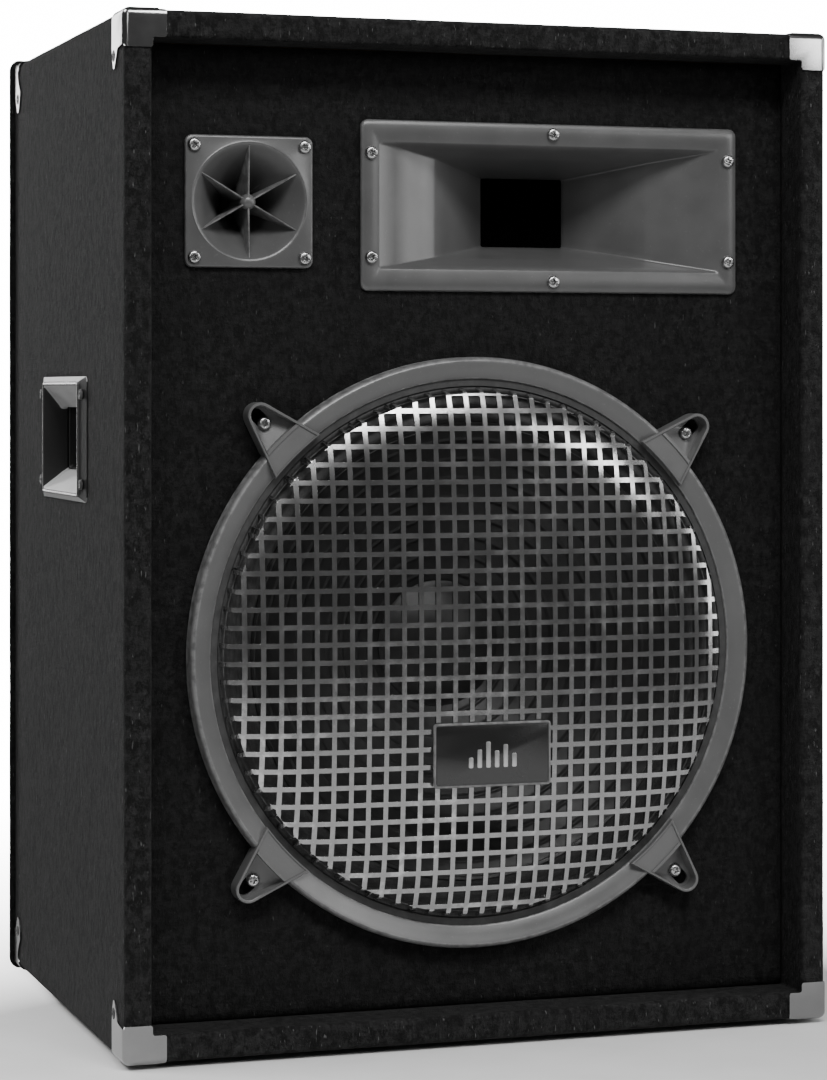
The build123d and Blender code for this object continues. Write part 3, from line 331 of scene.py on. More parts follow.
# ------------------------------------------------------------- materials
class Shader:
    """A principled material whose textures use the frame's own coordinates."""

    def __init__(self, name, metallic=0.0, **constants):
        self.material = bpy.data.materials.new(name)
        self.material.use_nodes = True
        self.tree = self.material.node_tree
        self.surface = self.tree.nodes["Principled BSDF"]
        self.surface.inputs["Metallic"].default_value = metallic
        for socket, value in constants.items():
            self.surface.inputs[socket.replace("_", " ")].default_value = value
        self.where = self.tree.nodes.new("ShaderNodeTexCoord").outputs["Object"]

    def node(self, kind, **values):
        """New node with its sockets linked or set."""
        made = self.tree.nodes.new(kind)
        for socket, value in values.items():
            self.feed(made.inputs[socket.replace("_", " ")], value)
        return made

    def feed(self, socket, value):
        if isinstance(value, bpy.types.NodeSocket):
            self.tree.links.new(value, socket)
        else:
            socket.default_value = value

    def stretched(self, scale):
        return self.node("ShaderNodeMapping", Vector=self.where, Scale=scale).outputs["Vector"]

    def noise(self, size, detail=3.0, rough=0.55, stretch=None):
        """Noise whose features are about a size in millimetres."""
        vector = self.stretched(stretch) if stretch else self.where
        scale = 1 / (size * MM)
        made = self.node("ShaderNodeTexNoise", Vector=vector, Scale=scale, Detail=detail, Roughness=rough)
        return made.outputs["Fac"]

    def cells(self, size, stretch):
        vector = self.stretched(stretch)
        return self.node("ShaderNodeTexVoronoi", Vector=vector, Scale=1 / (size * MM)).outputs["Distance"]

    def ramp(self, value, *stops):
        """Grey or coloured ramp from (place, colour) stops."""
        made = self.node("ShaderNodeValToRGB", Fac=value)
        band = made.color_ramp
        while len(band.elements) < len(stops):
            band.elements.new(0.5)
        for element, (at, colour) in zip(band.elements, stops):
            element.position = at
            element.color = tint(colour)
        return made.outputs["Color"]

    def between(self, value, low, high, start=0.0, end=1.0):
        limits = {"From_Min": start, "From_Max": end, "To_Min": low, "To_Max": high}
        return self.node("ShaderNodeMapRange", Value=value, **limits).outputs["Result"]

    def maths(self, operation, a, b):
        made = self.tree.nodes.new("ShaderNodeMath")
        made.operation = operation
        self.feed(made.inputs[0], a)
        self.feed(made.inputs[1], b)
        return made.outputs["Value"]

    def blended(self, amount, a, b):
        made = self.tree.nodes.new("ShaderNodeMix")
        made.data_type = "RGBA"
        self.feed(made.inputs["Factor"], amount)
        for number, colour in ((6, a), (7, b)):
            linked = isinstance(colour, bpy.types.NodeSocket)
            self.feed(made.inputs[number], colour if linked else tint(colour))
        return made.outputs[2]

    def bump(self, height, distance, strength=1.0, under=None):
        made = self.node("ShaderNodeBump", Height=height, Distance=distance * MM, Strength=strength)
        if under:
            self.feed(made.inputs["Normal"], under)
        return made.outputs["Normal"]

    def edges(self):
        """One on convex edges and nought elsewhere."""
        return self.between(self.node("ShaderNodeNewGeometry").outputs["Pointiness"], 0, 1, 0.52, 0.6)

    def done(self, colour, rough, normal=None):
        self.feed(self.surface.inputs["Base Color"], colour)
        self.feed(self.surface.inputs["Roughness"], rough)
        if normal:
            self.feed(self.surface.inputs["Normal"], normal)
        return self.material


def tint(colour):
    """Four-part colour from a grey or a colour."""
    parts = colour if isinstance(colour, (tuple, list)) else (colour,) * 3
    return (*parts[:3], 1.0)


def scaled(colour, factor):
    """A colour made darker or lighter."""
    return tuple(min(1.0, part * factor) for part in tint(colour)[:3])


def felt(name, dark, light, nap=0.5):
    """Needle-punched carpet: fibres matted in every direction, with fine lint and a soft sheen."""
    shader = Shader(name, Sheen_Weight=nap, Sheen_Roughness=0.45, Specular_IOR_Level=0.15)
    along = shader.noise(2.2, 4.0, 0.7, stretch=(1.0, 1.0, 0.3))
    across = shader.noise(2.2, 4.0, 0.7, stretch=(0.3, 0.5, 1.0))
    fibres = shader.maths("MULTIPLY", along, across)
    streaks = shader.noise(6.0, 5.0, 0.8, stretch=(1.0, 1.0, 0.75))
    patches = shader.noise(34.0, 3.0, 0.6)
    colour = shader.ramp(fibres, (0.12, dark), (0.42, light))
    colour = shader.blended(shader.between(streaks, 0.0, 1.0, 0.46, 0.57), colour, scaled(dark, 0.5))
    colour = shader.blended(shader.between(patches, 0.0, 0.4, 0.35, 0.7), colour, dark)
    lint = shader.between(shader.noise(1.4, 1.0, stretch=(1.0, 1.0, 0.25)), 0, 1, 0.7, 0.78)
    colour = shader.blended(lint, colour, scaled(light, 3.0))
    normal = shader.bump(streaks, 2.4, 0.8)
    normal = shader.bump(fibres, 1.4, 0.9, under=normal)
    normal = shader.bump(shader.noise(0.7, 2.0), 0.3, 0.6, under=normal)
    return shader.done(colour, shader.between(fibres, 0.82, 1.0), normal)


def moulded(name, base, rough=0.42, grain=0.9, grain_depth=0.06, worn=None, metallic=0.0, **constants):
    """Moulded or painted surface with a fine grain, faint smudges and paler worn edges."""
    shader = Shader(name, metallic=metallic, **constants)
    smudge = shader.noise(22.0, 4.0, 0.6)
    colour = shader.ramp(smudge, (0.3, scaled(base, 0.86)), (0.72, base))
    speck = shader.between(shader.noise(1.6, 2.0), 0, 0.5, 0.66, 0.74)
    colour = shader.blended(speck, colour, scaled(base, 1.5))
    if worn is not None:
        uneven_wear = shader.between(shader.noise(5.0, 3.0), 0, 1, 0.35, 0.6)
        colour = shader.blended(shader.maths("MULTIPLY", shader.edges(), uneven_wear), colour, worn)
    normal = shader.bump(shader.noise(grain, 2.0, 0.5), grain_depth, 0.8)
    return shader.done(colour, shader.between(smudge, rough - 0.07, rough + 0.1), normal)


def brushed(name, base, rough=0.3, direction=(1.0, 1.0, 0.05), metallic=1.0, scratch=0.03):
    """Drawn or plated metal with fine lines and a few scratches."""
    shader = Shader(name, metallic=metallic)
    lines = shader.noise(0.5, 3.0, 0.6, stretch=direction)
    cloud = shader.noise(30.0, 3.0)
    colour = shader.ramp(cloud, (0.3, scaled(base, 0.82)), (0.7, base))
    normal = shader.bump(lines, scratch, 0.5)
    patchy = shader.between(cloud, rough - 0.04, rough + 0.08)
    return shader.done(colour, shader.maths("ADD", shader.between(lines, -0.05, 0.08), patchy), normal)


def pulp(name, dark, light, depth=0.25, rough=(0.5, 0.75)):
    """Pressed paper pulp or dense board, with short fibres."""
    shader = Shader(name, Specular_IOR_Level=0.35)
    fibres = shader.cells(3.0, stretch=(1.0, 1.0, 0.35))
    mottle = shader.noise(9.0, 5.0, 0.7)
    mixed = shader.ramp(mottle, (0.3, dark), (0.7, light))
    colour = shader.blended(shader.between(fibres, 0.0, 0.6), mixed, dark)
    normal = shader.bump(shader.noise(1.2, 4.0, 0.7), depth, 0.7)
    return shader.done(colour, shader.between(mottle, *rough), normal)


def woven(name, dark, light, pitch=0.9, sheen=0.15, gloss=0.5):
    """Plain cloth, impregnated and pressed."""
    shader = Shader(name, Sheen_Weight=sheen, Specular_IOR_Level=gloss)
    warp = shader.noise(pitch, 1.0, stretch=(1.0, 1.0, 0.12))
    weft = shader.noise(pitch, 1.0, stretch=(0.12, 1.0, 1.0))
    weave = shader.maths("MAXIMUM", warp, weft)
    colour = shader.ramp(weave, (0.45, dark), (0.7, light))
    return shader.done(colour, shader.between(weave, 0.6, 0.85), shader.bump(weave, 0.25, 0.8))


def plywood(name, base):
    """Birch plywood with long grain along Z and a few darker figures."""
    shader = Shader(name)
    grain = shader.noise(3.0, 6.0, 0.65, stretch=(1.0, 1.0, 0.06))
    figure = shader.noise(26.0, 3.0, 0.6, stretch=(1.0, 1.0, 0.25))
    dark = scaled(base, 0.62)
    colour = shader.ramp(grain, (0.35, dark), (0.62, base))
    colour = shader.blended(shader.between(figure, 0, 0.5, 0.4, 0.75), colour, dark)
    return shader.done(colour, shader.between(grain, 0.5, 0.72), shader.bump(grain, 0.2, 0.6))


def wound_wire(name, base, pitch=0.8):
    """Close-wound enamelled wire."""
    shader = Shader(name, metallic=0.85, Coat_Weight=0.3)
    turns = shader.node("ShaderNodeTexWave", Vector=shader.where, Scale=0.314 / (pitch * MM), Distortion=0.4)
    turns.bands_direction = "Z"
    wave = turns.outputs["Fac"]
    colour = shader.ramp(wave, (0.0, scaled(base, 0.4)), (0.6, base))
    return shader.done(colour, shader.between(wave, 0.45, 0.25), shader.bump(wave, 0.35, 0.9))


FELT = felt("felt", 0.0045, 0.024, nap=0.012)
# Darker copy of the carpet for the baffle set back behind the lip: painted shade.
BAFFLE_FELT_PAINTED_SHADE = felt("baffle_felt_painted_shade", 0.003, 0.013, nap=0.015)
CORNER_METAL = brushed("corner_metal", 0.27, rough=0.17, direction=(1.0, 1.0, 0.3), scratch=0.02)
HANDLE_PLASTIC = moulded("handle_plastic", 0.05, rough=0.24)
# Paler copy of the handle plastic: painted reflection on the grip and scoop faces.
GRIP_PAINTED_REFLECTION = moulded("grip_painted_reflection", 0.4, rough=0.4)
# Near-black copy of the handle plastic: painted shade inside the handle pocket.
POCKET_PAINTED_SHADE = moulded("pocket_painted_shade", 0.006, rough=0.5)
HORN_PLASTIC = moulded("horn_plastic", 0.066, rough=0.3, grain=1.1, grain_depth=0.03, worn=0.16)
RING_PLASTIC = moulded("ring_plastic", 0.085, rough=0.3, grain=0.8, grain_depth=0.05, worn=0.3)
GRILLE_PAINT = moulded("grille_paint", 0.32, rough=0.2, grain=0.8, grain_depth=0.02, worn=0.5, metallic=0.96)
CLAMP_PLASTIC = moulded("clamp_plastic", 0.095, rough=0.34)
BLACK_SCREW = moulded("black_screw", 0.012, rough=0.5, worn=0.1)
BRIGHT_SCREW = brushed("bright_screw", 0.5, rough=0.24)
CONE_PAPER = pulp("cone_paper", 0.012, 0.03, depth=0.12, rough=(0.3, 0.45))
SURROUND_CLOTH = woven("surround_cloth", 0.008, 0.03)
# Near-black cloth with no gloss or sheen: painted shade deep in the horn throat.
THROAT_PAINTED_SHADE = woven("throat_painted_shade", 0.0006, 0.0016, pitch=0.7, sheen=0.0, gloss=0.0)
SPIDER_CLOTH = woven("spider_cloth", (0.20, 0.11, 0.04), (0.42, 0.27, 0.12), pitch=1.2)
BADGE_FACE = moulded("badge_face", 0.008, rough=0.24, grain=3.0, grain_depth=0.01, Coat_Weight=0.5)
BADGE_MARK = brushed("badge_mark", 0.55, rough=0.3)
BLACK_PLASTIC = moulded("black_plastic", 0.025, rough=0.36, worn=0.09)
RED_PLASTIC = moulded("red_plastic", (0.42, 0.012, 0.01), rough=0.3, Coat_Weight=0.25)
BLACK_CAP = moulded("black_cap", 0.014, rough=0.3, Coat_Weight=0.25)
NICKEL = brushed("nickel", 0.6, rough=0.22, scratch=0.012)
PLATED_STEEL = brushed("plated_steel", 0.4, rough=0.35)
BASKET_PAINT = moulded("basket_paint", 0.03, rough=0.48, metallic=0.2, worn=0.12)
FERRITE = pulp("ferrite", 0.035, 0.06, depth=0.1)
RUBBER = moulded("rubber", 0.02, rough=0.7, grain=0.7, grain_depth=0.12)
BOARD_WOOD = plywood("board_wood", (0.48, 0.32, 0.17))
GASKET_BOARD = pulp("gasket_board", 0.02, 0.05)
FORMER_FOIL = brushed("former_foil", (0.55, 0.36, 0.12), rough=0.35)
COPPER = wound_wire("copper", (0.62, 0.24, 0.09))
CIRCUIT_BOARD = moulded("circuit_board", (0.03, 0.13, 0.05), rough=0.35, grain=1.0)
FILM_CAPACITOR = moulded("film_capacitor", (0.5, 0.36, 0.05), rough=0.3)
CERAMIC = moulded("ceramic", 0.6, rough=0.6, grain=0.6)
WIRE_JACKET = moulded("wire_jacket", (0.2, 0.01, 0.01), rough=0.45)
SOCKET_STEEL = brushed("socket_steel", 0.12, rough=0.4, metallic=0.8)

CARRIED = (
    (BOARD_WOOD, "panel_left panel_right panel_top panel_bottom back_panel front_baffle"),
    (BOARD_WOOD, "baffle_cleats back_cleats cross_brace"), (BASKET_PAINT, "woofer_basket"),
    (GASKET_BOARD, "woofer_gasket"), (FORMER_FOIL, "coil_former"), (COPPER, "voice_coil crossover_coils"),
    (PLATED_STEEL, "top_plate yoke mid_driver"), (FERRITE, "magnet"),
    (BLACK_PLASTIC, "woofer_terminals tweeter_housing jack_sockets"),
    (NICKEL, "post_bases crossover_spacers"), (SOCKET_STEEL, "pole_socket"),
    (CIRCUIT_BOARD, "crossover_board"), (FILM_CAPACITOR, "crossover_capacitors"),
    (CERAMIC, "crossover_resistor"), (WIRE_JACKET, "wiring"),
    (BRIGHT_SCREW, "foot_screws pole_socket_screws"),
)
for material, names in CARRIED:
    for node in names.split():
        nodes[node].data.materials.clear()
        nodes[node].data.materials.append(material)

# ---------------------------------------------------------- carpet covering
FELT_THICK = 2.8
EDGE_ROUND = 4.0
LIP_ROUND = 3.0
FELT_STEP = 7.0
SEAM_INSET = 18.0
ARC_STEPS = 5
HANDLE_LAP = (12.5, 2.5)
POLE_OPENING = 33.0


def lines(start, end, step, stops=()):
    """Places from start to end, no further apart than a step, with one on every stop."""
    marks = sorted({start, end, *[s for s in stops if start < s < end]})
    places = [marks[0]]
    for a, b in zip(marks, marks[1:]):
        count = max(1, round((b - a) / step))
        places += [a + (b - a) * k / count for k in range(1, count + 1)]
    return places


def wrap_loop(depth, inset, x_marks, z_marks):
    """Rounded rectangle across the cabinet, an inset in from its outer faces."""
    radius = max(EDGE_ROUND - inset, 1.2)
    half_x, half_z = SIDE - inset - radius, HALF_HEIGHT - inset - radius
    scale_x = half_x / (SIDE - EDGE_ROUND)
    scale_z = half_z / (HALF_HEIGHT - EDGE_ROUND)
    loop = []
    for quarter, (sx, sz) in enumerate(((1, -1), (1, 1), (-1, 1), (-1, -1))):
        for k in range(ARC_STEPS + 1):
            a = radians(-90 + 90 * quarter + 90 * k / ARC_STEPS)
            loop.append((sx * half_x + radius * cos(a), depth, MIDDLE + sz * half_z + radius * sin(a)))
        upright = quarter % 2 == 0
        marks, scale, reach = (z_marks, scale_z, SIDE) if upright else (x_marks, scale_x, HALF_HEIGHT)
        out = (reach - inset) * (1 if quarter < 2 else -1)
        for mark in marks[1:-1] if quarter in (0, 3) else marks[-2:0:-1]:
            u, v = (out, mark * scale) if upright else (mark * scale, out)
            loop.append((u, depth, MIDDLE + v))
    return loop


def quarter_turn(radius, steps=ARC_STEPS):
    """(out, along) from one face round a quarter to the next."""
    angles = [pi / 2 * k / steps for k in range(steps + 1)]
    return [(radius * (1 - cos(a)), radius * (1 - sin(a))) for a in angles]


def felt_wrap():
    """Carpet round the sides, over the lip and back to the baffle, with a lap on the back."""
    handle_low, handle_high = span("handle_right")
    pole_low, pole_high = span("pole_socket")
    hole_y = (handle_low.y + HANDLE_LAP[0], handle_high.y - HANDLE_LAP[0])
    hole_z = (handle_low.z + HANDLE_LAP[1], handle_high.z - HANDLE_LAP[1])
    pole = ((pole_low.x + pole_high.x) / 2, (pole_low.y + pole_high.y) / 2)
    x_marks = lines(-(SIDE - EDGE_ROUND), SIDE - EDGE_ROUND, FELT_STEP)
    z_stops = [z - MIDDLE for z in hole_z]
    z_marks = lines(-(HALF_HEIGHT - EDGE_ROUND), HALF_HEIGHT - EDGE_ROUND, FELT_STEP, z_stops)
    stations = [(BACK - 1.6, SEAM_INSET + 0.2), (BACK - 0.6, SEAM_INSET), (BACK, SEAM_INSET - 0.7)]
    stations += [(BACK, inset) for inset in (13.0, 8.5)]
    stations += [(BACK - a, b) for a, b in reversed(quarter_turn(EDGE_ROUND))]
    straight = lines(FRONT + EDGE_ROUND, BACK - EDGE_ROUND, FELT_STEP, hole_y)
    stations += [(y, 0.0) for y in reversed(straight[:-1])]
    stations += [(FRONT + b, a) for a, b in quarter_turn(EDGE_ROUND)[1:]]
    stations += [(FRONT, inset) for inset in (7.5, 11.0)]
    stations += [(FRONT + a, RETURN_INSET - b) for a, b in quarter_turn(LIP_ROUND)]
    stations += [(y, RETURN_INSET) for y in lines(FRONT + LIP_ROUND, BAFFLE_FACE + FELT_THICK, FELT_STEP)[1:]]
    points, faces = skin([wrap_loop(y, inset, x_marks, z_marks) for y, inset in stations])

    def kept(face):
        x, y, z = (sum(points[i][k] for i in face) / len(face) for k in range(3))
        on_side = abs(x) > SIDE - 1 and hole_y[0] < y < hole_y[1] and hole_z[0] < z < hole_z[1]
        below = z < LOW + 1 and hypot(x - pole[0], y - pole[1]) < POLE_OPENING
        return not on_side and not below

    wrap = build("felt_wrap", points, [f for f in faces if kept(f)], sharp=60)
    uneven(outward(wrap, 0, 1), 0.35, 60.0)
    thicken(wrap, FELT_THICK)
    return dressed(wrap, FELT, "carpet_wrap")


def window(node, lap_x, lap_z):
    """Opening under a CAD node's flange, as two x and two z places."""
    low, high = span(node)
    return (low.x + lap_x, high.x - lap_x), (low.z + lap_z, high.z - lap_z)


def felt_sheet(name, depth, way, inset, step, openings, woofer_hole=0.0):
    """Flat carpet panel across the cabinet, with its openings."""
    x_size, z_size = SIDE - inset, HALF_HEIGHT - inset
    xs = lines(-x_size, x_size, step, [x for opening in openings for x in opening[0]])
    zs = lines(MIDDLE - z_size, MIDDLE + z_size, step, [z for opening in openings for z in opening[1]])

    def wanted(i, j):
        x, z = (xs[i] + xs[i + 1]) / 2, (zs[j] + zs[j + 1]) / 2
        cut = any(a[0] < x < a[1] and b[0] < z < b[1] for a, b in openings)
        return not cut and hypot(x - WOOFER[0], z - WOOFER[1]) >= woofer_hole

    points = [(x, depth, z) for z in zs for x in xs]
    sheet = build(name, points, grid_faces(len(xs), len(zs), wanted), sharp=60)
    uneven(outward(sheet, 1, way), 0.3, 70.0)
    thicken(sheet, FELT_THICK)
    return sheet


felt_wrap()
felt_back = felt_sheet("felt_back", BACK, 1, SEAM_INSET + 0.5, FELT_STEP, [window("terminal_dish", 8, 8)])
dressed(felt_back, FELT)
felt_baffle = felt_sheet(
    "felt_baffle", BAFFLE_FACE, -1, RETURN_INSET + 0.4, 6.0,
    [window("mid_horn", 14, 13), window("tweeter_horn", 3, 3)], RING_RADIUS - 8,
)
dressed(felt_baffle, BAFFLE_FELT_PAINTED_SHADE, "baffle_carpet")

# ----------------------------------------------------------------- screws
HEAD_COUNT = 48


def cross_outline(reach, half_width):
    """Cross recess seen from above, as one point on each of the head's rays."""
    points = []
    for i in range(HEAD_COUNT):
        angle = 2 * pi * i / HEAD_COUNT
        folded = abs((angle + pi / 4) % (pi / 2) - pi / 4)
        radius = reach / cos(folded) if tan(folded) < half_width / reach else half_width / sin(folded)
        points.append((radius * cos(angle), radius * sin(angle)))
    return points


def head(at, out, radius, dome, turn=0.0):
    """Screw head whose edge is on a surface at a point, domed outwards, with a cross recess."""
    frame_of = out.to_track_quat("Z", "Y").to_matrix() @ Matrix.Rotation(turn, 3, "Z")
    sections = [
        (radius, -1.2, None), (radius, dome * 0.15, None), (radius * 0.94, dome * 0.55, None),
        (radius * 0.82, dome * 0.84, None), (radius * 0.66, dome, None),
        (0, dome, (radius * 0.58, radius * 0.16)), (0, dome - 0.3, (radius * 0.52, radius * 0.12)),
        (0, dome - radius * 0.42, (radius * 0.3, radius * 0.08)),
    ]
    loops = []
    for size, height, cross in sections:
        outline = cross_outline(*cross) if cross else circle(size, HEAD_COUNT)
        loops.append([tuple(at + frame_of @ Vector((u, v, height))) for u, v in outline])
    return skin(loops, start_cap=True, end_cap=True)


def screws(name, node, material, dome, rise, grow=1.0):
    """Detailed heads where a CAD node's screws are."""
    parts = []
    for number, (low, high) in enumerate(islands(node)):
        size = high - low
        middle = (high + low) / 2
        axis = max(range(3), key=lambda k: size[k])
        outward = 1 if middle[axis] > (MIDDLE if axis == 2 else 0) else -1
        out = Vector([outward if k == axis else 0 for k in range(3)])
        at = middle.copy()
        at[axis] = (high if outward > 0 else low)[axis] - outward * rise
        radius = grow * min(size[k] for k in range(3) if k != axis) / 2
        parts.append(head(at, out, radius, dome, turn=0.7 + 1.3 * number))
    return dressed(build(name, *merged(parts), sharp=40), material, node)


screws("baffle_screw_heads", "baffle_screws", BRIGHT_SCREW, 2.6, 2.75)
screws("corner_screw_heads", "corner_screws", BLACK_SCREW, 0.5, 0.5, 1.15)
screws("handle_screw_heads", "handle_screws", BLACK_SCREW, 0.5, 0.5)
screws("back_screw_heads", "back_screws", BLACK_SCREW, 0.6, 0.6)

# ------------------------------------------------------- corner protectors
CAP_PROUD = 1.0
CAP_REACH = 6.0
LIP = RETURN_INSET
FRONT_TAB = [(0, 0), (32.5, 0), (33, 22), (31, 31), (28.5, 36.5), (25.5, 36.5), (22.5, 32), (17, 24), (0, 22)]
FRONT_ANGLE = [(0, 0), (27, 0), (27, LIP), (LIP, LIP), (LIP, 24.5), (0, 24.5)]
REAR_TAB = [
    (0, 0), (36, 0), (30, 3), (24, 8), (27, 14), (34, 22), (33, 27), (28, 37), (24, 37), (17, 27), (0, 27),
]
BLOCK = 60.0


def shift_outline(outline):
    """Moves an outline's two outer edges out past the cap, so that only its inner edges cut."""
    return [(-3.0 if u == 0 else u, -3.0 if v == 0 else v) for u, v in outline]


def prism(name, outline, plane, start, end):
    """Solid from an outline: plane yz, xz or xy, between two places on the third axis."""
    order = {"yz": (2, 0, 1), "xz": (0, 2, 1), "xy": (0, 1, 2)}[plane]
    loops = [[tuple((u, v, w)[k] for k in order) for u, v in outline] for w in (start, end)]
    return build(name, *skin(loops, start_cap=True, end_cap=True), body=None)


def corner_block(name, outset):
    """Cube corner with its three outer edges rounded."""
    mesh = bpy.data.meshes.new(name)
    work = bmesh.new()
    bmesh.ops.create_cube(work, size=1.0)
    size = (BLOCK + outset) * MM
    for vertex in work.verts:
        vertex.co = Vector([(v + 0.5) * size - outset * MM for v in vertex.co])
    low = -outset * MM + 1e-6
    outer = [e for e in work.edges if sum(1 for v in (e.verts[0].co + e.verts[1].co) / 2 if v < low) == 2]
    bmesh.ops.bevel(
        work, geom=outer, offset=(EDGE_ROUND + outset) * MM, segments=6, profile=0.5, affect="EDGES"
    )
    bmesh.ops.recalc_face_normals(work, faces=work.faces)
    work.to_mesh(mesh)
    work.free()
    return place(name, mesh, body=None)


def combined(thing, other, operation):
    """Boolean of two solids; the second one is used up."""
    modifier = thing.modifiers.new("cut", "BOOLEAN")
    modifier.operation = operation
    modifier.solver = "EXACT"
    modifier.object = other
    bpy.context.view_layer.update()
    settle(thing)
    bpy.data.objects.remove(other)
    return thing


def corner_cap(name, side_outline, face_outline, end_outline):
    """Cap over a rounded corner: X runs in from the side, Y from the face and Z from the end."""
    mask = prism(name, shift_outline(side_outline), "yz", -3.0, CAP_REACH)
    combined(mask, prism("face_mask", shift_outline(face_outline), "xz", -3.1, CAP_REACH + 0.1), "UNION")
    combined(mask, prism("end_mask", shift_outline(end_outline), "xy", -3.2, CAP_REACH + 0.2), "UNION")
    shell = corner_block("corner_shell", CAP_PROUD)
    combined(shell, corner_block("corner_inside", 0.0), "DIFFERENCE")
    combined(mask, shell, "INTERSECT")
    return mask.data


def soft_tab(outline):
    return rounded_outline(shift_outline(outline), 3.0)


END_TAB = [(v, u) for u, v in FRONT_TAB]
front_cap = corner_cap(
    "front_cap", soft_tab(FRONT_TAB), rounded_outline(FRONT_ANGLE, 1.5), soft_tab(END_TAB)
)
rear_cap = corner_cap("rear_cap", *[soft_tab(REAR_TAB)] * 3)
for leftover in ("front_cap", "rear_cap"):
    bpy.data.objects.remove(bpy.data.objects[leftover])
for face, cap in (("front", front_cap), ("rear", rear_cap)):
    for end in ("bottom", "top"):
        for side in ("left", "right"):
            mesh = cap.copy()
            mesh.transform(Matrix.Translation(Vector((-SIDE, FRONT, LOW)) * MM))
            flips = [side == "right", face == "rear", end == "top"]
            mirror = Matrix.Diagonal([-1 if f else 1 for f in flips] + [1])
            if end == "top":
                mirror = Matrix.Translation((0, 0, 2 * MIDDLE * MM)) @ mirror
            mesh.transform(mirror)
            if sum(flips) % 2:
                mesh.flip_normals()
            piece = place(f"cap_{face}_{end}_{side}", mesh, sharp=25)
            round_edges(piece, 0.45, angle=40)
            dressed(piece, CORNER_METAL, f"corner_{face}_{end}_{side}")

# ------------------------------------------------------------ side handles
HANDLE_RIM = 4.0
HANDLE_MOUTH = (114.0, 72.0)
HANDLE_DEEP = 44.0
# depth below the rim, and where the floor and the roof are there, from the mouth's edges
HANDLE_POCKET = (
    (0.0, -0.9, 0.9), (0.7, -0.2, 0.2), (1.6, 0.6, -0.6), (12.0, 8.6, -13.4), (13.4, 9.8, -14.7),
    (15.2, 11.0, -15.0), (17.2, 12.4, -14.7), (18.6, 13.4, -13.0), (19.4, 14.0, -8.0), (20.6, 14.8, -2.0),
    (22.4, 15.0, -0.8), (24.0, 14.2, -0.6), (24.8, 9.0, -0.6), (25.4, 1.4, -0.6),
    (HANDLE_DEEP - 2, 1.2, -1.2), (HANDLE_DEEP, 4.0, -4.0),
)
CUP_LOOPS = 12


def handle(side):
    """Recessed bar handle: bevelled flange, slanted grip above, scoop below and a deep pocket; the grip and
    scoop carry painted reflection and the deep faces painted shade.
    """
    low, high = span(f"handle_{side}")
    centre = ((low.y + high.y) / 2, (low.z + high.z) / 2)
    flange = (high.y - low.y, high.z - low.z)
    sign = 1 if side == "right" else -1
    face = SIDE + HANDLE_RIM
    sections = grown(flange, [(0, 5.0, -0.6), (0, 5.0, 0.5)])
    rim = ((5.2, 0.9), (4.2, 0.25), (3.0, 0.0))
    sections += grown(HANDLE_MOUTH, [(more, 3.0, HANDLE_RIM - below) for more, below in rim])
    sections = [(*section, 0.0) for section in sections]
    for depth, floor, roof in HANDLE_POCKET:
        draft = min(depth * 0.04, 1.5) + (3.0 if depth == HANDLE_DEEP else 0) - (0.9 if depth == 0 else 0)
        size = HANDLE_MOUTH[0] - 2 * draft, HANDLE_MOUTH[1] + roof - floor
        sections.append((*size, 2.0, HANDLE_RIM - depth, (roof + floor) / 2))
    loops = []
    for width, height, radius, rise, shift in sections:
        outline = rounded_rect(width, height, radius, 5, 12)
        loops.append([(sign * (SIDE + rise), centre[0] + u, centre[1] + shift + v) for u, v in outline])
    piece = build(f"handle_cup_{side}", *skin(loops[:CUP_LOOPS + 1]), sharp=28)
    thicken(outward(piece, 0, sign), 1.6)
    dressed(piece, HANDLE_PLASTIC, f"handle_{side}")
    piece.data.materials.append(GRIP_PAINTED_REFLECTION)
    piece.data.materials.append(POCKET_PAINTED_SHADE)
    # Faces that look up or down get the paler plastic as painted reflection; the other deep faces get the
    # near-black plastic as painted shade.
    for polygon in piece.data.polygons:
        if face - polygon.center.x * sign / MM > 1.0:
            polygon.material_index = 1 if abs(polygon.normal.z) > 0.4 else 2
    # The deep pocket gets the near-black copy of the plastic: painted shade in the recess.
    pocket = build(f"handle_pocket_{side}", *skin(loops[CUP_LOOPS:], end_cap=True), sharp=28)
    thicken(outward(pocket, 0, sign), 1.6)
    return dressed(pocket, POCKET_PAINTED_SHADE)


handle("left")
handle("right")

# ------------------------------------------------------------ woofer grille
ring_profile = [
    (RING_INNER + 11.4, BAFFLE_FACE - 0.2), (RING_RADIUS, BAFFLE_FACE - 0.2),
    *shifted([(0, 3.4), (-0.4, 1.9), (-1.3, 0.7), (-2.6, 0.1), (-3.8, 0.4)], RING_RADIUS, RING_FRONT),
    *shifted([(-5.0, 1.0), (-9.0, 2.4)], RING_RADIUS, RING_FRONT),
    *shifted([(1.4, 4.0), (0.4, 4.6), (0, 5.6)], RING_INNER, RING_FRONT),
    *shifted([(0.3, 0.1), (11.4, 0.1)], RING_INNER, MESH_SEAT),
]
ring = build("ring", *lathe(ring_profile, WOOFER, 240), sharp=30)
dressed(ring, RING_PLASTIC, "grille_ring")

MESH_PITCH = 11.6
MESH_BAR = 3.2
HOLE_STEPS = 3
MESH_COUNT = 17
CROWN_RADIUS = 140.0
CROWN_DROP = 6.5
BEND_RADIUS = 171.0
MESH_SHIFT = (-4.3, 2.9)
MESH_THICK = 2.3
MESH_SINK = 0.3
SHOULDER = 0.0060


def dome_drop(radius):
    """How far the grille has dropped from its top at a radius: a flat crown, a shoulder and a steep skirt."""
    ball = (CROWN_RADIUS ** 2 + CROWN_DROP ** 2) / (2 * CROWN_DROP)
    if radius <= CROWN_RADIUS:
        return ball - sqrt(ball ** 2 - radius ** 2)
    t = radius - CROWN_RADIUS
    return CROWN_DROP + CROWN_RADIUS / ball * t + SHOULDER * t * t


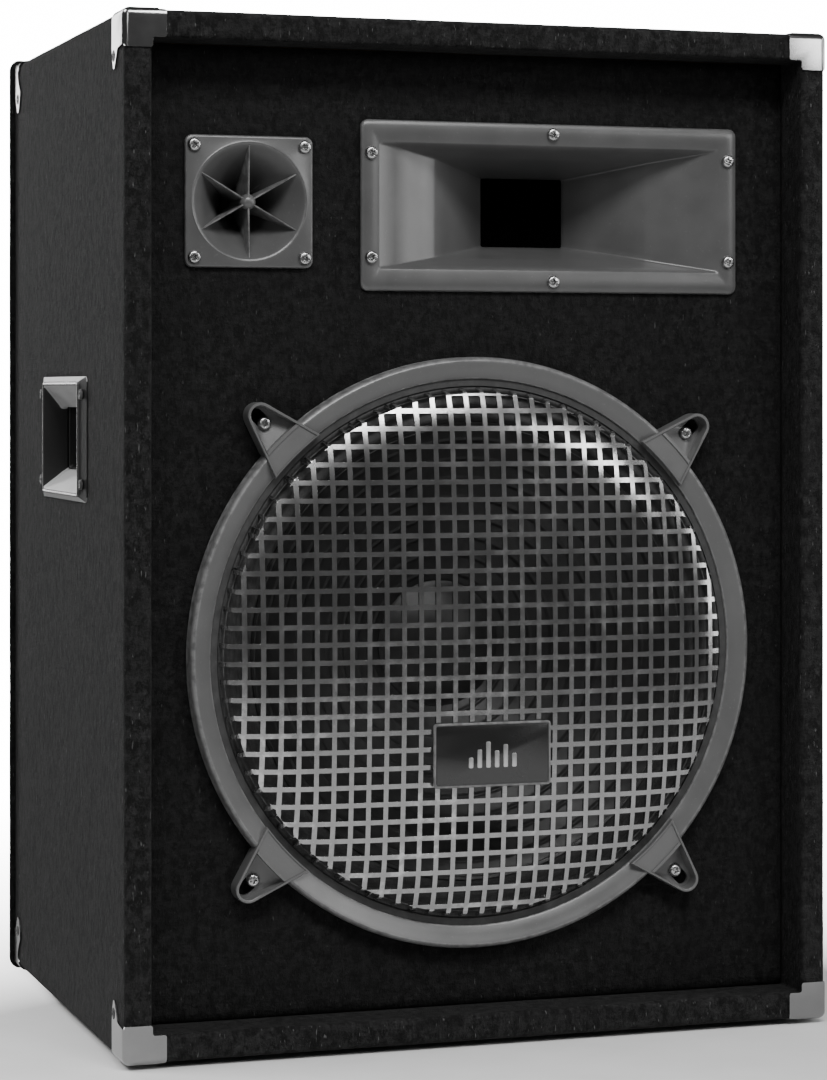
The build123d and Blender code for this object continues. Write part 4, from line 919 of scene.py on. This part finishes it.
def on_dome(u, v):
    """Lattice point; one past the bend is drawn in to it, so that every bar ends on one circle."""
    radius = max(hypot(u, v), 1e-6)
    kept = min(radius, BEND_RADIUS)
    depth = MESH_TOP + MESH_SINK + dome_drop(kept)
    return WOOFER[0] + u * kept / radius, depth, WOOFER[1] + v * kept / radius


def grille_lattice():
    """Square moulded lattice bent over the dome."""
    hole = MESH_PITCH - MESH_BAR
    marks = [(-MESH_COUNT * MESH_PITCH - hole / 2, False)]
    for i in range(-MESH_COUNT, MESH_COUNT + 1):
        middle = i * MESH_PITCH
        marks += [(middle + hole * (k / HOLE_STEPS - 0.5), True) for k in range(1, HOLE_STEPS + 1)]
        marks.append((middle + MESH_PITCH - hole / 2, False))
    columns, rows = ([at + shift for at, _ in marks] for shift in MESH_SHIFT)

    def wanted(i, j):
        in_hole = marks[i + 1][1] and marks[j + 1][1]
        nearest = min(hypot(u, v) for u in columns[i:i + 2] for v in rows[j:j + 2])
        return not in_hole and nearest < BEND_RADIUS - 0.3

    points = [on_dome(u, v) for v in rows for u in columns]
    faces = grid_faces(len(marks), len(marks), wanted)
    mesh = build("grille_lattice", points, faces, sharp=50)
    thicken(outward(mesh, 1, -1), MESH_THICK)
    round_edges(mesh, 0.5, angle=60)
    return dressed(mesh, GRILLE_PAINT, "grille_mesh")


def skirt_rib(u, v, along):
    """Short bar from the end of a lattice bar down to the seat; along is the axis the bar runs on."""
    top = MESH_TOP + MESH_SINK + dome_drop(BEND_RADIUS)
    lean = [(-1.0, 0.0), (0.6, 0.4), (1.8, 1.8), (2.8, 5.0), (3.8, MESH_SEAT - 0.6 + MESH_SINK - top)]
    half = MESH_BAR / 2 - 0.2
    loops = []
    for out, drop in lean:
        loop = []
        for side, inward in ((-half, 0.0), (half, 0.0), (half, MESH_THICK), (-half, MESH_THICK)):
            reach = (BEND_RADIUS + out - inward * 0.8) / BEND_RADIUS
            x = u * reach + (side if along == 1 else 0.0)
            z = v * reach + (side if along == 0 else 0.0)
            loop.append((WOOFER[0] + x, top + drop + inward * 0.6, WOOFER[1] + z))
        loops.append(loop)
    return skin(loops, start_cap=True, end_cap=True)


def grille_skirt():
    """One rib for each place where a lattice bar meets the bend."""
    ribs = []
    for i in range(-MESH_COUNT, MESH_COUNT + 1):
        for axis in (0, 1):
            place_on = (i + 0.5) * MESH_PITCH + MESH_SHIFT[1 - axis]
            if abs(place_on) <= BEND_RADIUS - MESH_BAR:
                end = sqrt(BEND_RADIUS ** 2 - place_on ** 2)
                for reach in (-end, end):
                    spot = (reach, place_on) if axis == 0 else (place_on, reach)
                    ribs.append(skirt_rib(*spot, axis))
    dressed(build("grille_skirt", *merged(ribs), sharp=50), GRILLE_PAINT)


grille_skirt()
grille_lattice()

CLAMP_START = 43.5
CLAMP_COUNT = 4
CLAMP_RISE = 1.4
CLAMP_WALL = 1.6
CLAMP_HALF = 20.5
CLAMP_RIM_HALF = 18.6
CLAMP_TIP = 216.0
CLAMP_TIP_RADIUS = 8.6
SCREW_AT = 209.0


def on_circle(radius, across):
    """Point of a circle round the woofer's axis, as (out, across)."""
    return sqrt(radius ** 2 - across ** 2), across


def tangent_slope(base, half, tip, radius):
    """Lean of the straight side that runs from a base point to the tip's circle."""
    return atan2(half, tip - base) - asin(radius / hypot(tip - base, half))


def teardrop(base, half, tip, radius, side_steps=7, tip_steps=12, base_steps=8):
    """Triangle with a round tip, as (out, across); its base follows a circle round the woofer's axis."""
    start, end = on_circle(base, half), on_circle(base, -half)
    swing = pi / 2 - tangent_slope(start[0], half, tip, radius)
    arc = []
    for k in range(tip_steps + 1):
        angle = swing - 2 * swing * k / tip_steps
        arc.append((tip + radius * cos(angle), radius * sin(angle)))
    points = [start] + between(start, arc[0], side_steps) + arc + between(arc[-1], end, side_steps) + [end]
    return points + [on_circle(base, -half + 2 * half * k / base_steps) for k in range(1, base_steps)]


def slot_outline(like, start, end, half_width):
    """Slot with round ends, with a point towards each point of another outline round the slot's middle."""
    middle, reach = (start + end) / 2, (end - start) / 2
    points = []
    for u, v in like:
        angle = atan2(v, u - middle)
        across = half_width / max(abs(sin(angle)), 1e-6)
        end_side = 1 if cos(angle) > 0 else -1
        centre = (reach - half_width) * end_side
        if abs(across * cos(angle)) <= abs(centre):
            points.append((middle + across * cos(angle), across * sin(angle)))
            continue
        along = centre * cos(angle) + sqrt(max(0.0, half_width ** 2 - (centre * sin(angle)) ** 2))
        points.append((middle + along * cos(angle), along * sin(angle)))
    return points


def grille_clamp(number):
    """Clamp over the ring: band, thin raised rim round a sloped pocket, and a slot to the felt."""
    front = RING_FRONT - CLAMP_RISE
    inner = RING_INNER + 0.2
    rim_radius = CLAMP_TIP_RADIUS - CLAMP_WALL
    body_outline = teardrop(inner, CLAMP_HALF, CLAMP_TIP, CLAMP_TIP_RADIUS)
    top_outline = teardrop(inner + 0.4, CLAMP_HALF - 0.5, CLAMP_TIP, CLAMP_TIP_RADIUS - 0.4)
    rim_inside = teardrop(inner + 0.9, CLAMP_RIM_HALF, CLAMP_TIP, rim_radius)
    start = on_circle(inner + 0.9, CLAMP_RIM_HALF)[0]
    lean = tangent_slope(start, CLAMP_RIM_HALF, CLAMP_TIP, rim_radius)
    half = CLAMP_RIM_HALF - (RING_RADIUS - start) * tan(lean)
    band_edge = teardrop(RING_RADIUS - 0.8, half - 0.1, CLAMP_TIP, rim_radius)
    pocket = teardrop(RING_RADIUS + 1.2, half - 0.7, CLAMP_TIP - 0.1, rim_radius - 0.3)
    slot = slot_outline(pocket, SCREW_AT - 4.6, CLAMP_TIP + 5.0, 4.4)

    def foot(u):
        return BAFFLE_FACE - 0.2 if u > RING_RADIUS + 0.5 else RING_FRONT + 3.4

    def floor(u):
        return BAFFLE_FACE - 3.2 - max(0.0, SCREW_AT - 3.0 - u) * 0.4

    sections = [
        (body_outline, foot), (body_outline, front + 0.5), (top_outline, front), (rim_inside, front),
        (rim_inside, front + 0.8), (band_edge, front + 0.8), (band_edge, front), (pocket, front + 0.2),
        (pocket, floor), (slot, floor), (slot, BAFFLE_FACE - 0.2),
    ]
    turn = radians(CLAMP_START + 360 / CLAMP_COUNT * number)
    loops = []
    for outline, depth in sections:
        solid = [(u, v, depth(u) if callable(depth) else depth) for u, v in outline]
        loops.append(swung(solid, turn, WOOFER))
    return skin(loops, closed=True)


clamps = build("clamps", *merged([grille_clamp(i) for i in range(CLAMP_COUNT)]), sharp=30)
round_edges(clamps, 0.3, angle=50)
dressed(clamps, CLAMP_PLASTIC, "grille_clamps")

# ------------------------------------------------------------------- badge
BADGE_AT, BADGE_SIZE = front_view("badge")
BADGE_FRONT = span("badge")[0].y
BADGE_THICK = 2.0


def plate(width, height, radius, back, front, soft=0.5, steps=(5, 6), centre=(0, 0)):
    """Closed plate across the cabinet with a softened front edge."""
    outlines = [
        (width, height, radius, back), (width, height, radius, front + soft),
        (width - soft * 0.6, height - soft * 0.6, radius - soft * 0.3, front + soft * 0.3),
        (width - 2 * soft, height - 2 * soft, radius - soft * 0.9, front),
    ]
    return skin(rect_loops(outlines, centre, *steps), start_cap=True, end_cap=True)


def badge():
    """Plain dark name plate in a thin frame, with generic level bars in place of any mark."""
    steps = ((0, BADGE_THICK), (0, 0.5), (0.3, 0.15), (0.8, 0), (1.3, 0.05), (1.6, 0.7))
    sections = grown(BADGE_SIZE, [(-2 * inset, 2.2 - inset * 0.6, BADGE_FRONT + y) for inset, y in steps])
    rim = skin(rect_loops(sections, BADGE_AT, 5, 6), start_cap=True, end_cap=True)
    dressed(build("badge_frame", *rim, sharp=30), RING_PLASTIC, "badge")
    inner = [size - 3.6 for size in BADGE_SIZE]
    face = plate(*inner, 1.3, BADGE_FRONT + 1.0, BADGE_FRONT + 0.35, 0.2, centre=BADGE_AT)
    dressed(build("badge_plate", *face, sharp=30), BADGE_FACE)
    bar_heights = (7.0, 12.0, 17.0, 11.0, 15.0, 9.0)
    bars = []
    for i, tall in enumerate(bar_heights):
        across = BADGE_AT[0] + (i - (len(bar_heights) - 1) / 2) * 6.0
        spot = (across, BADGE_AT[1] - 8.5 + tall / 2)
        bars.append(plate(3.2, tall, 0.9, BADGE_FRONT + 0.6, BADGE_FRONT + 0.05, 0.15, (4, 2), spot))
    dressed(build("badge_bars", *merged(bars), sharp=30), BADGE_MARK)


badge()

# ---------------------------------------------------------------- mid horn
HORN, HORN_FLANGE = front_view("mid_horn")
HORN_MOUTH = (240.0, 82.0)
HORN_CREASE = (152.0, 66.6)
HORN_THROAT = (59.0, 47.0)
HORN_FACE = BAFFLE_FACE - 4.0
CREASE = 22.4
THROAT = 61.0


def crowned(size, steps):
    """Sections of a flange on the baffle from (inset, rise) steps."""
    return grown(size, [(-2 * inset, 5.0 - inset * 0.4, BAFFLE_FACE - rise) for inset, rise in steps])


def horn():
    """Two-step rectangular flare with a crowned flange, and a near-black screen in its throat as painted
    shade.
    """
    crown = ((0, 0), (0, 1.4), (0.25, 2.2), (0.9, 2.9), (2.0, 3.4), (3.6, 3.8), (6.0, 4.0), (9.0, 3.7))
    sections = crowned(HORN_FLANGE, crown)
    sections += grown(HORN_MOUTH, [(4.0, 2.4, HORN_FACE + 1.0), (1.6, 1.9, HORN_FACE + 1.4)])
    sections.append((HORN_MOUTH[0] - 1.0, HORN_MOUTH[1] - 0.6, 1.5, HORN_FACE + 2.4))
    for share in (0.25, 0.5, 0.75, 0.97):
        size = [m + (c - m) * share for m, c in zip(HORN_MOUTH, HORN_CREASE)]
        sections.append((*size, 1.4, HORN_FACE + CREASE * share))
    for share in (0.03, 0.3, 0.6, 0.97):
        size = [c + (t - c) * share for c, t in zip(HORN_CREASE, HORN_THROAT)]
        sections.append((*size, 1.4, HORN_FACE + CREASE + (THROAT - CREASE) * share))
    sections += [(*HORN_THROAT, 1.4, HORN_FACE + THROAT + behind) for behind in (1.0, 12.0)]
    piece = build("horn_flare", *skin(rect_loops(sections, HORN, 4, 14), end_cap=True), sharp=22)
    thicken(outward(piece, 1, -1), 2.4)
    dressed(piece, HORN_PLASTIC, "mid_horn")
    # Screen across the throat that stands in for the shade there: painted shade.
    size = (HORN_THROAT[0] - 0.4, HORN_THROAT[1] - 0.4)
    screen = plate(*size, 1.2, HORN_FACE + THROAT + 4.0, HORN_FACE + THROAT + 1.0, 0.4, centre=HORN)
    return dressed(build("horn_throat_screen", *screen), THROAT_PAINTED_SHADE)


horn()

# ----------------------------------------------------------------- tweeter
TWEETER, TWEETER_SIZE = front_view("tweeter_horn")
TWEETER_FACE = BAFFLE_FACE - 3.5
TWEETER_MOUTH = 37.3
TWEETER_THROAT = 9.0
TWEETER_DEEP = 41.0
FLARE = 1.55
FIN_COUNT = 6


def flare_radius(depth):
    """Radius of the tweeter's bell at a depth below its mouth."""
    share = depth / TWEETER_DEEP
    return TWEETER_THROAT + (TWEETER_MOUTH - TWEETER_THROAT) * (1 - share) ** FLARE


def tweeter_bell():
    """Square crowned flange that runs into a round bell."""
    crown = ((0, 0), (0, 2.0), (0.3, 2.8), (0.9, 3.3), (1.8, 3.5))
    loops = rect_loops(crowned(TWEETER_SIZE, crown), TWEETER, 5, 14)
    bell = [(TWEETER_MOUTH + more, deep) for more, deep in ((2.2, 0), (1.4, -0.45), (0.5, -0.3))]
    for deep in (0.4, 2.0, 5.0, 9.0, 14.0, 20.0, 27.0, 34.0, TWEETER_DEEP):
        bell.append((flare_radius(deep), deep))
    square = rounded_rect(*TWEETER_SIZE, 5.0, 5, 14)
    for radius, deep in bell:
        ring_points = [(radius * u / hypot(u, v), radius * v / hypot(u, v)) for u, v in square]
        loops.append(facing(ring_points, TWEETER_FACE + deep, TWEETER))
    piece = build("tweeter_bell", *skin(loops, end_cap=True), sharp=30)
    thicken(outward(piece, 1, -1), 2.0)
    return dressed(piece, HORN_PLASTIC, "tweeter_horn")


def tweeter_fin(number):
    """Thin blade from the rim down to the centre, a little thicker at its root."""
    stations = [(3.2, 2.6), (8.0, 2.2), (14.0, 1.9), (20.0, 1.6), (26.0, 1.3), (31.5, 1.0), (36.4, 0.8)]
    turn = radians(30 + 360 / FIN_COUNT * number)
    loops = []
    for radius, edge in stations:
        share = max(0.0, (radius - TWEETER_THROAT) / (TWEETER_MOUTH - TWEETER_THROAT))
        low = TWEETER_FACE + TWEETER_DEEP * (1 - share ** (1 / FLARE)) + 0.6
        top = TWEETER_FACE + edge
        thick = 0.95 if radius < 30 else 0.7
        half = [(-1, low), (-0.62, top + 0.4), (-0.25, top)]
        section = half + [(-w, y) for w, y in reversed(half)]
        loops.append(swung([(radius, w * thick, y) for w, y in section], turn, TWEETER))
    return skin(loops, start_cap=True, end_cap=True)


tweeter_bell()
fins = build("tweeter_fins", *merged([tweeter_fin(i) for i in range(FIN_COUNT)]), sharp=40)
dressed(fins, HORN_PLASTIC)
bullet_profile = [
    (0, 0.6), (1.6, 0.8), (3.2, 1.5), (4.5, 2.8), (5.2, 4.6), (5.3, 7.0), (4.6, 20.0), (3.4, 40.5), (0, 40.5),
]
bullet = build("tweeter_bullet", *lathe(shifted(bullet_profile, 0, TWEETER_FACE), TWEETER, 48, closed=False))
dressed(bullet, HORN_PLASTIC)

# -------------------------------------------------------- cone and surround
CONE_RADIUS = front_view("woofer_cone")[1][0] / 2
CONE_EDGE = span("woofer_cone")[0].y
CONE_NECK = CONE_EDGE + 78.0
NECK_RADIUS = 33.8
CONE_THICK = 1.2
RIB_SPACING = 13.0
RIB_HEIGHT = 0.9


def cone_depth(radius):
    return CONE_NECK - (radius - NECK_RADIUS) * (CONE_NECK - CONE_EDGE) / (CONE_RADIUS - NECK_RADIUS)


def cone():
    """Ribbed paper cone."""
    front, radius = [], NECK_RADIUS
    while radius <= CONE_RADIUS:
        phase = (radius - NECK_RADIUS - 14.0) % RIB_SPACING
        bump = RIB_HEIGHT * sin(pi * phase / 2.6) if phase < 2.6 and 48 < radius < 146 else 0.0
        front.append((radius, cone_depth(radius) - bump))
        radius += 0.65
    back = [(r, cone_depth(r) + CONE_THICK) for r in (CONE_RADIUS, 120.0, 80.0, NECK_RADIUS)]
    piece = build("cone", *lathe(front + back, WOOFER, 160), body="cone", sharp=60)
    return dressed(piece, CONE_PAPER, "woofer_cone")


def dust_dome():
    """Pressed dome with its glued flange."""
    low, high = span("dust_cap")
    radius, rise = (high.x - low.x) / 2, 15.0
    ball = (radius ** 2 + rise ** 2) / (2 * rise)
    profile = []
    for k in range(15):
        r = (radius - 3.0) * k / 14
        profile.append((r, low.y + ball - sqrt(ball ** 2 - r ** 2)))
    profile += shifted([(-1.6, -1.3), (-0.2, -0.8), (0, 0.2)], radius, cone_depth(radius))
    profile += [(r, y + 0.9) for r, y in reversed(profile[:-3])]
    piece = build("dust_dome", *lathe(profile, WOOFER, 96, closed=False), body="cone", sharp=50)
    return dressed(piece, CONE_PAPER, "dust_cap")


def ring_sectors(name, profile, material, node, count=12, steps=10):
    """Annulus cut into sectors that span between the fixed frame and the moving cone."""
    for number in range(count):
        start = 2 * pi * number / count
        loops = []
        for k in range(steps + 1):
            a = start + 2 * pi / count * k / steps
            loops.append(swung([(r, 0.0, y) for r, y in profile], a, WOOFER))
        piece = build(f"{name}_{number + 1}", *skin(loops, start_cap=True, end_cap=True), body=None, sharp=60)
        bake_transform(piece)
        dressed(piece, material, node)


def ripple(start, end, depth, waves, height, thick, steps=8):
    """Closed profile of a corrugated annulus."""
    count = waves * steps
    line = []
    for k in range(count + 1):
        share = k / count
        line.append((start + (end - start) * share, depth(share) - height * sin(2 * pi * waves * share)))
    return line + [(r, y + thick) for r, y in reversed(line)]


SEAT_DEPTH = BAFFLE_FACE - 4.4
SURROUND_EDGE = CONE_RADIUS - 3.0
SURROUND_FALL = cone_depth(SURROUND_EDGE) - 0.9 - SEAT_DEPTH
surround_radius = front_view("woofer_surround")[1][0] / 2
surround = ripple(surround_radius, SURROUND_EDGE, lambda s: SEAT_DEPTH + SURROUND_FALL * s, 3, 1.5, 0.7)
ring_sectors("surround", surround, SURROUND_CLOTH, "woofer_surround")
spider_low, spider_high = span("spider")
spider_depth = (spider_low.y + spider_high.y) / 2 - 0.4
spider = ripple((spider_high.x - spider_low.x) / 2, NECK_RADIUS + 0.1, lambda s: spider_depth, 7, 1.6, 0.8)
ring_sectors("spider_ring", spider, SPIDER_CLOTH, "spider")
cone()
dust_dome()

# ------------------------------------------------------- back dish and feet
DISH, DISH_FLANGE = front_view("terminal_dish")
DISH_MOUTH = (110.0, 80.0)
DISH_DEEP = 32.0
DISH_FACE = span("terminal_dish")[1].y


def dish():
    """Terminal dish: thin rounded flange, drafted walls and a flat floor."""
    floor = DISH_FACE - DISH_DEEP
    sections = grown(DISH_FLANGE, [
        (0, 6.0, BACK - 0.3), (0, 6.0, DISH_FACE - 0.7), (-0.8, 5.8, DISH_FACE - 0.2), (-2.4, 5.4, DISH_FACE),
    ])
    sections += grown(DISH_MOUTH, [
        (2.0, 4.0, DISH_FACE), (0.6, 3.6, DISH_FACE - 0.4), (0, 3.4, DISH_FACE - 1.4),
        (-1.0, 3.2, DISH_FACE - 16.0), (-2.0, 3.0, floor + 2.5), (-3.6, 2.6, floor + 0.6), (-6.4, 2.0, floor),
    ])
    piece = build("dish_cup", *skin(rect_loops(sections, DISH), end_cap=True), sharp=30)
    thicken(outward(piece, 1, 1), 1.6)
    return dressed(piece, BLACK_PLASTIC, "terminal_dish")


def knurled_cap(node, name, body, material):
    """Binding-post cap with grip flutes, a groove and a rounded end."""
    low, high = span(node)
    centre, size = front_view(node)
    radius = size[0] / 2
    flutes, segments = 16, 128
    profile = [
        (3.2, low.y, 0), (radius - 0.5, low.y, 0), (radius, low.y + 0.5, 0), (radius, low.y + 1.6, 0),
        (radius - 0.5, low.y + 2.1, 0), (radius - 0.5, low.y + 2.7, 0), (radius, low.y + 3.2, 1),
        (radius, high.y - 1.6, 1), (radius - 0.5, high.y - 0.5, 0.6), (radius - 1.4, high.y, 0.2),
        (3.4, high.y, 0), (3.15, high.y - 0.4, 0), (3.15, low.y + 0.2, 0),
    ]
    loops = []
    for r, y, depth in profile:
        loop = []
        for i in range(segments):
            a = 2 * pi * i / segments
            cut = depth * 0.55 * max(0.0, cos(flutes * a)) ** 2
            loop.append(((r - cut) * cos(a), (r - cut) * sin(a)))
        loops.append(facing(loop, y, centre))
    return dressed(build(name, *skin(loops, closed=True), body=body, sharp=40), material, node)


def feet():
    """Four turned rubber feet with a recess for the screw."""
    parts = []
    for low, high in islands("feet"):
        x, y = (low.x + high.x) / 2, (low.y + high.y) / 2
        radius = (high.x - low.x) / 2
        profile = [
            (0, high.z + 0.2), (radius, high.z + 0.2), (radius, high.z - 0.6), (radius - 0.9, low.z + 0.9),
            (radius - 1.8, low.z + 0.15), (radius - 3.0, low.z), (6.2, low.z), (5.2, low.z + 0.3),
            (5.0, low.z + 1.6), (0, low.z + 1.6),
        ]
        parts.append(skin([[(x + u, y + v, z) for u, v in circle(r, 64)] for r, z in profile]))
    return dressed(build("rubber_feet", *merged(parts), sharp=35), RUBBER, "feet")


dish()
knurled_cap("post_cap_red", "cap_red", "red_cap", RED_PLASTIC)
knurled_cap("post_cap_black", "cap_black", "black_cap", BLACK_CAP)
feet()
for node, width in (("jack_sockets", 0.4), ("post_bases", 0.3), ("pole_socket", 0.4)):
    round_edges(nodes[node], width, angle=40)

# ---------------------------------------------------------- floor and light
FLOOR_RADIUS = 6.0
BACKDROP_RADIUS = 14.0
BACKDROP_GLOW = 16.0
WORLD_STRENGTH = 0.08
# name, place, what it is turned to, width and height, and power
LIGHTS = (
    ("left_box", (-1.9, 0.3, 2.2), (-0.2, 0, 0.5), (1.2, 0.9), 58),
    ("back_left_strip", (-0.8, 2.1, 0.85), (-0.25, 0, 0.45), (0.45, 1.8), 19),
    ("right_strip", (2.0, -0.7, 0.8), (0, -0.15, 0.4), (0.4, 1.5), 14),
    ("front_right_box", (1.5, -2.0, 1.2), (0.1, -0.15, 0.5), (0.6, 0.6), 14),
    ("front_left_box", (-1.7, -2.0, 1.4), (0, -0.15, 0.4), (0.6, 0.5), 6),
    ("top_box", (-0.2, -2.1, 2.5), (0, -0.15, 0.4), (2.2, 0.7), 104),
)


def stage_mesh(name, loops, material, end_cap=False):
    points, faces = skin(loops, end_cap=end_cap)
    mesh = bpy.data.meshes.new(name)
    mesh.from_pydata(points, [], [tuple(f) for f in faces])
    mesh.materials.append(material)
    thing = added(name, mesh)
    return thing


def stage_floor():
    """Pale floor that thins out into the white surround."""
    shader = Shader("floor_paper", Specular_IOR_Level=0.2)
    cloud = shader.noise(60.0, 3.0)
    paper = shader.done(shader.ramp(cloud, (0.3, 0.62), (0.7, 0.66)), 0.7)
    away = shader.tree.nodes.new("ShaderNodeVectorMath")
    away.operation = "DISTANCE"
    shader.feed(away.inputs[0], shader.where)
    shader.feed(away.inputs[1], (0, -0.4, 0))
    fade = shader.between(away.outputs["Value"], 0.0, 1.0, 0.5, 1.5)
    clear = shader.node("ShaderNodeBsdfTransparent")
    mix = shader.node("ShaderNodeMixShader")
    for number, source in enumerate((fade, shader.surface.outputs[0], clear.outputs[0])):
        shader.feed(mix.inputs[number], source)
    shader.feed(shader.tree.nodes["Material Output"].inputs["Surface"], mix.outputs[0])
    loops = [[(u, v, 0) for u, v in circle(r, 64)] for r in (FLOOR_RADIUS, 1.5, 0.5)]
    stage_mesh("floor", loops, paper, end_cap=True)


def stage_backdrop():
    """White surround that only the camera sees."""
    glow = bpy.data.materials.new("backdrop_white")
    glow.use_nodes = True
    tree = glow.node_tree
    light = tree.nodes.new("ShaderNodeEmission")
    light.inputs["Strength"].default_value = BACKDROP_GLOW
    tree.links.new(light.outputs[0], tree.nodes["Material Output"].inputs["Surface"])
    loops = []
    for k in range(1, 24):
        tilt = pi * k / 24 - pi / 2
        level = circle(BACKDROP_RADIUS * cos(tilt), 64)
        loops.append([(u, v, BACKDROP_RADIUS * sin(tilt)) for u, v in level])
    surround = stage_mesh("backdrop", loops, glow)
    surround.visible_diffuse = surround.visible_glossy = surround.visible_shadow = False
    surround.visible_transmission = surround.visible_volume_scatter = False


def soft_light(name, at, target, size, watts):
    lamp = bpy.data.lights.new(name, "AREA")
    lamp.shape = "RECTANGLE"
    lamp.size, lamp.size_y = size
    lamp.energy = watts
    thing = added(name, lamp)
    thing.location = at
    thing.rotation_mode = "QUATERNION"
    thing.rotation_quaternion = (Vector(target) - Vector(at)).to_track_quat("-Z", "Y")


world = bpy.data.worlds.new("studio")
world.use_nodes = True
world.node_tree.nodes["Background"].inputs["Color"].default_value = (1, 1, 1, 1)
world.node_tree.nodes["Background"].inputs["Strength"].default_value = WORLD_STRENGTH
bpy.context.scene.world = world
stage_floor()
stage_backdrop()
for light in LIGHTS:
    soft_light(*light)
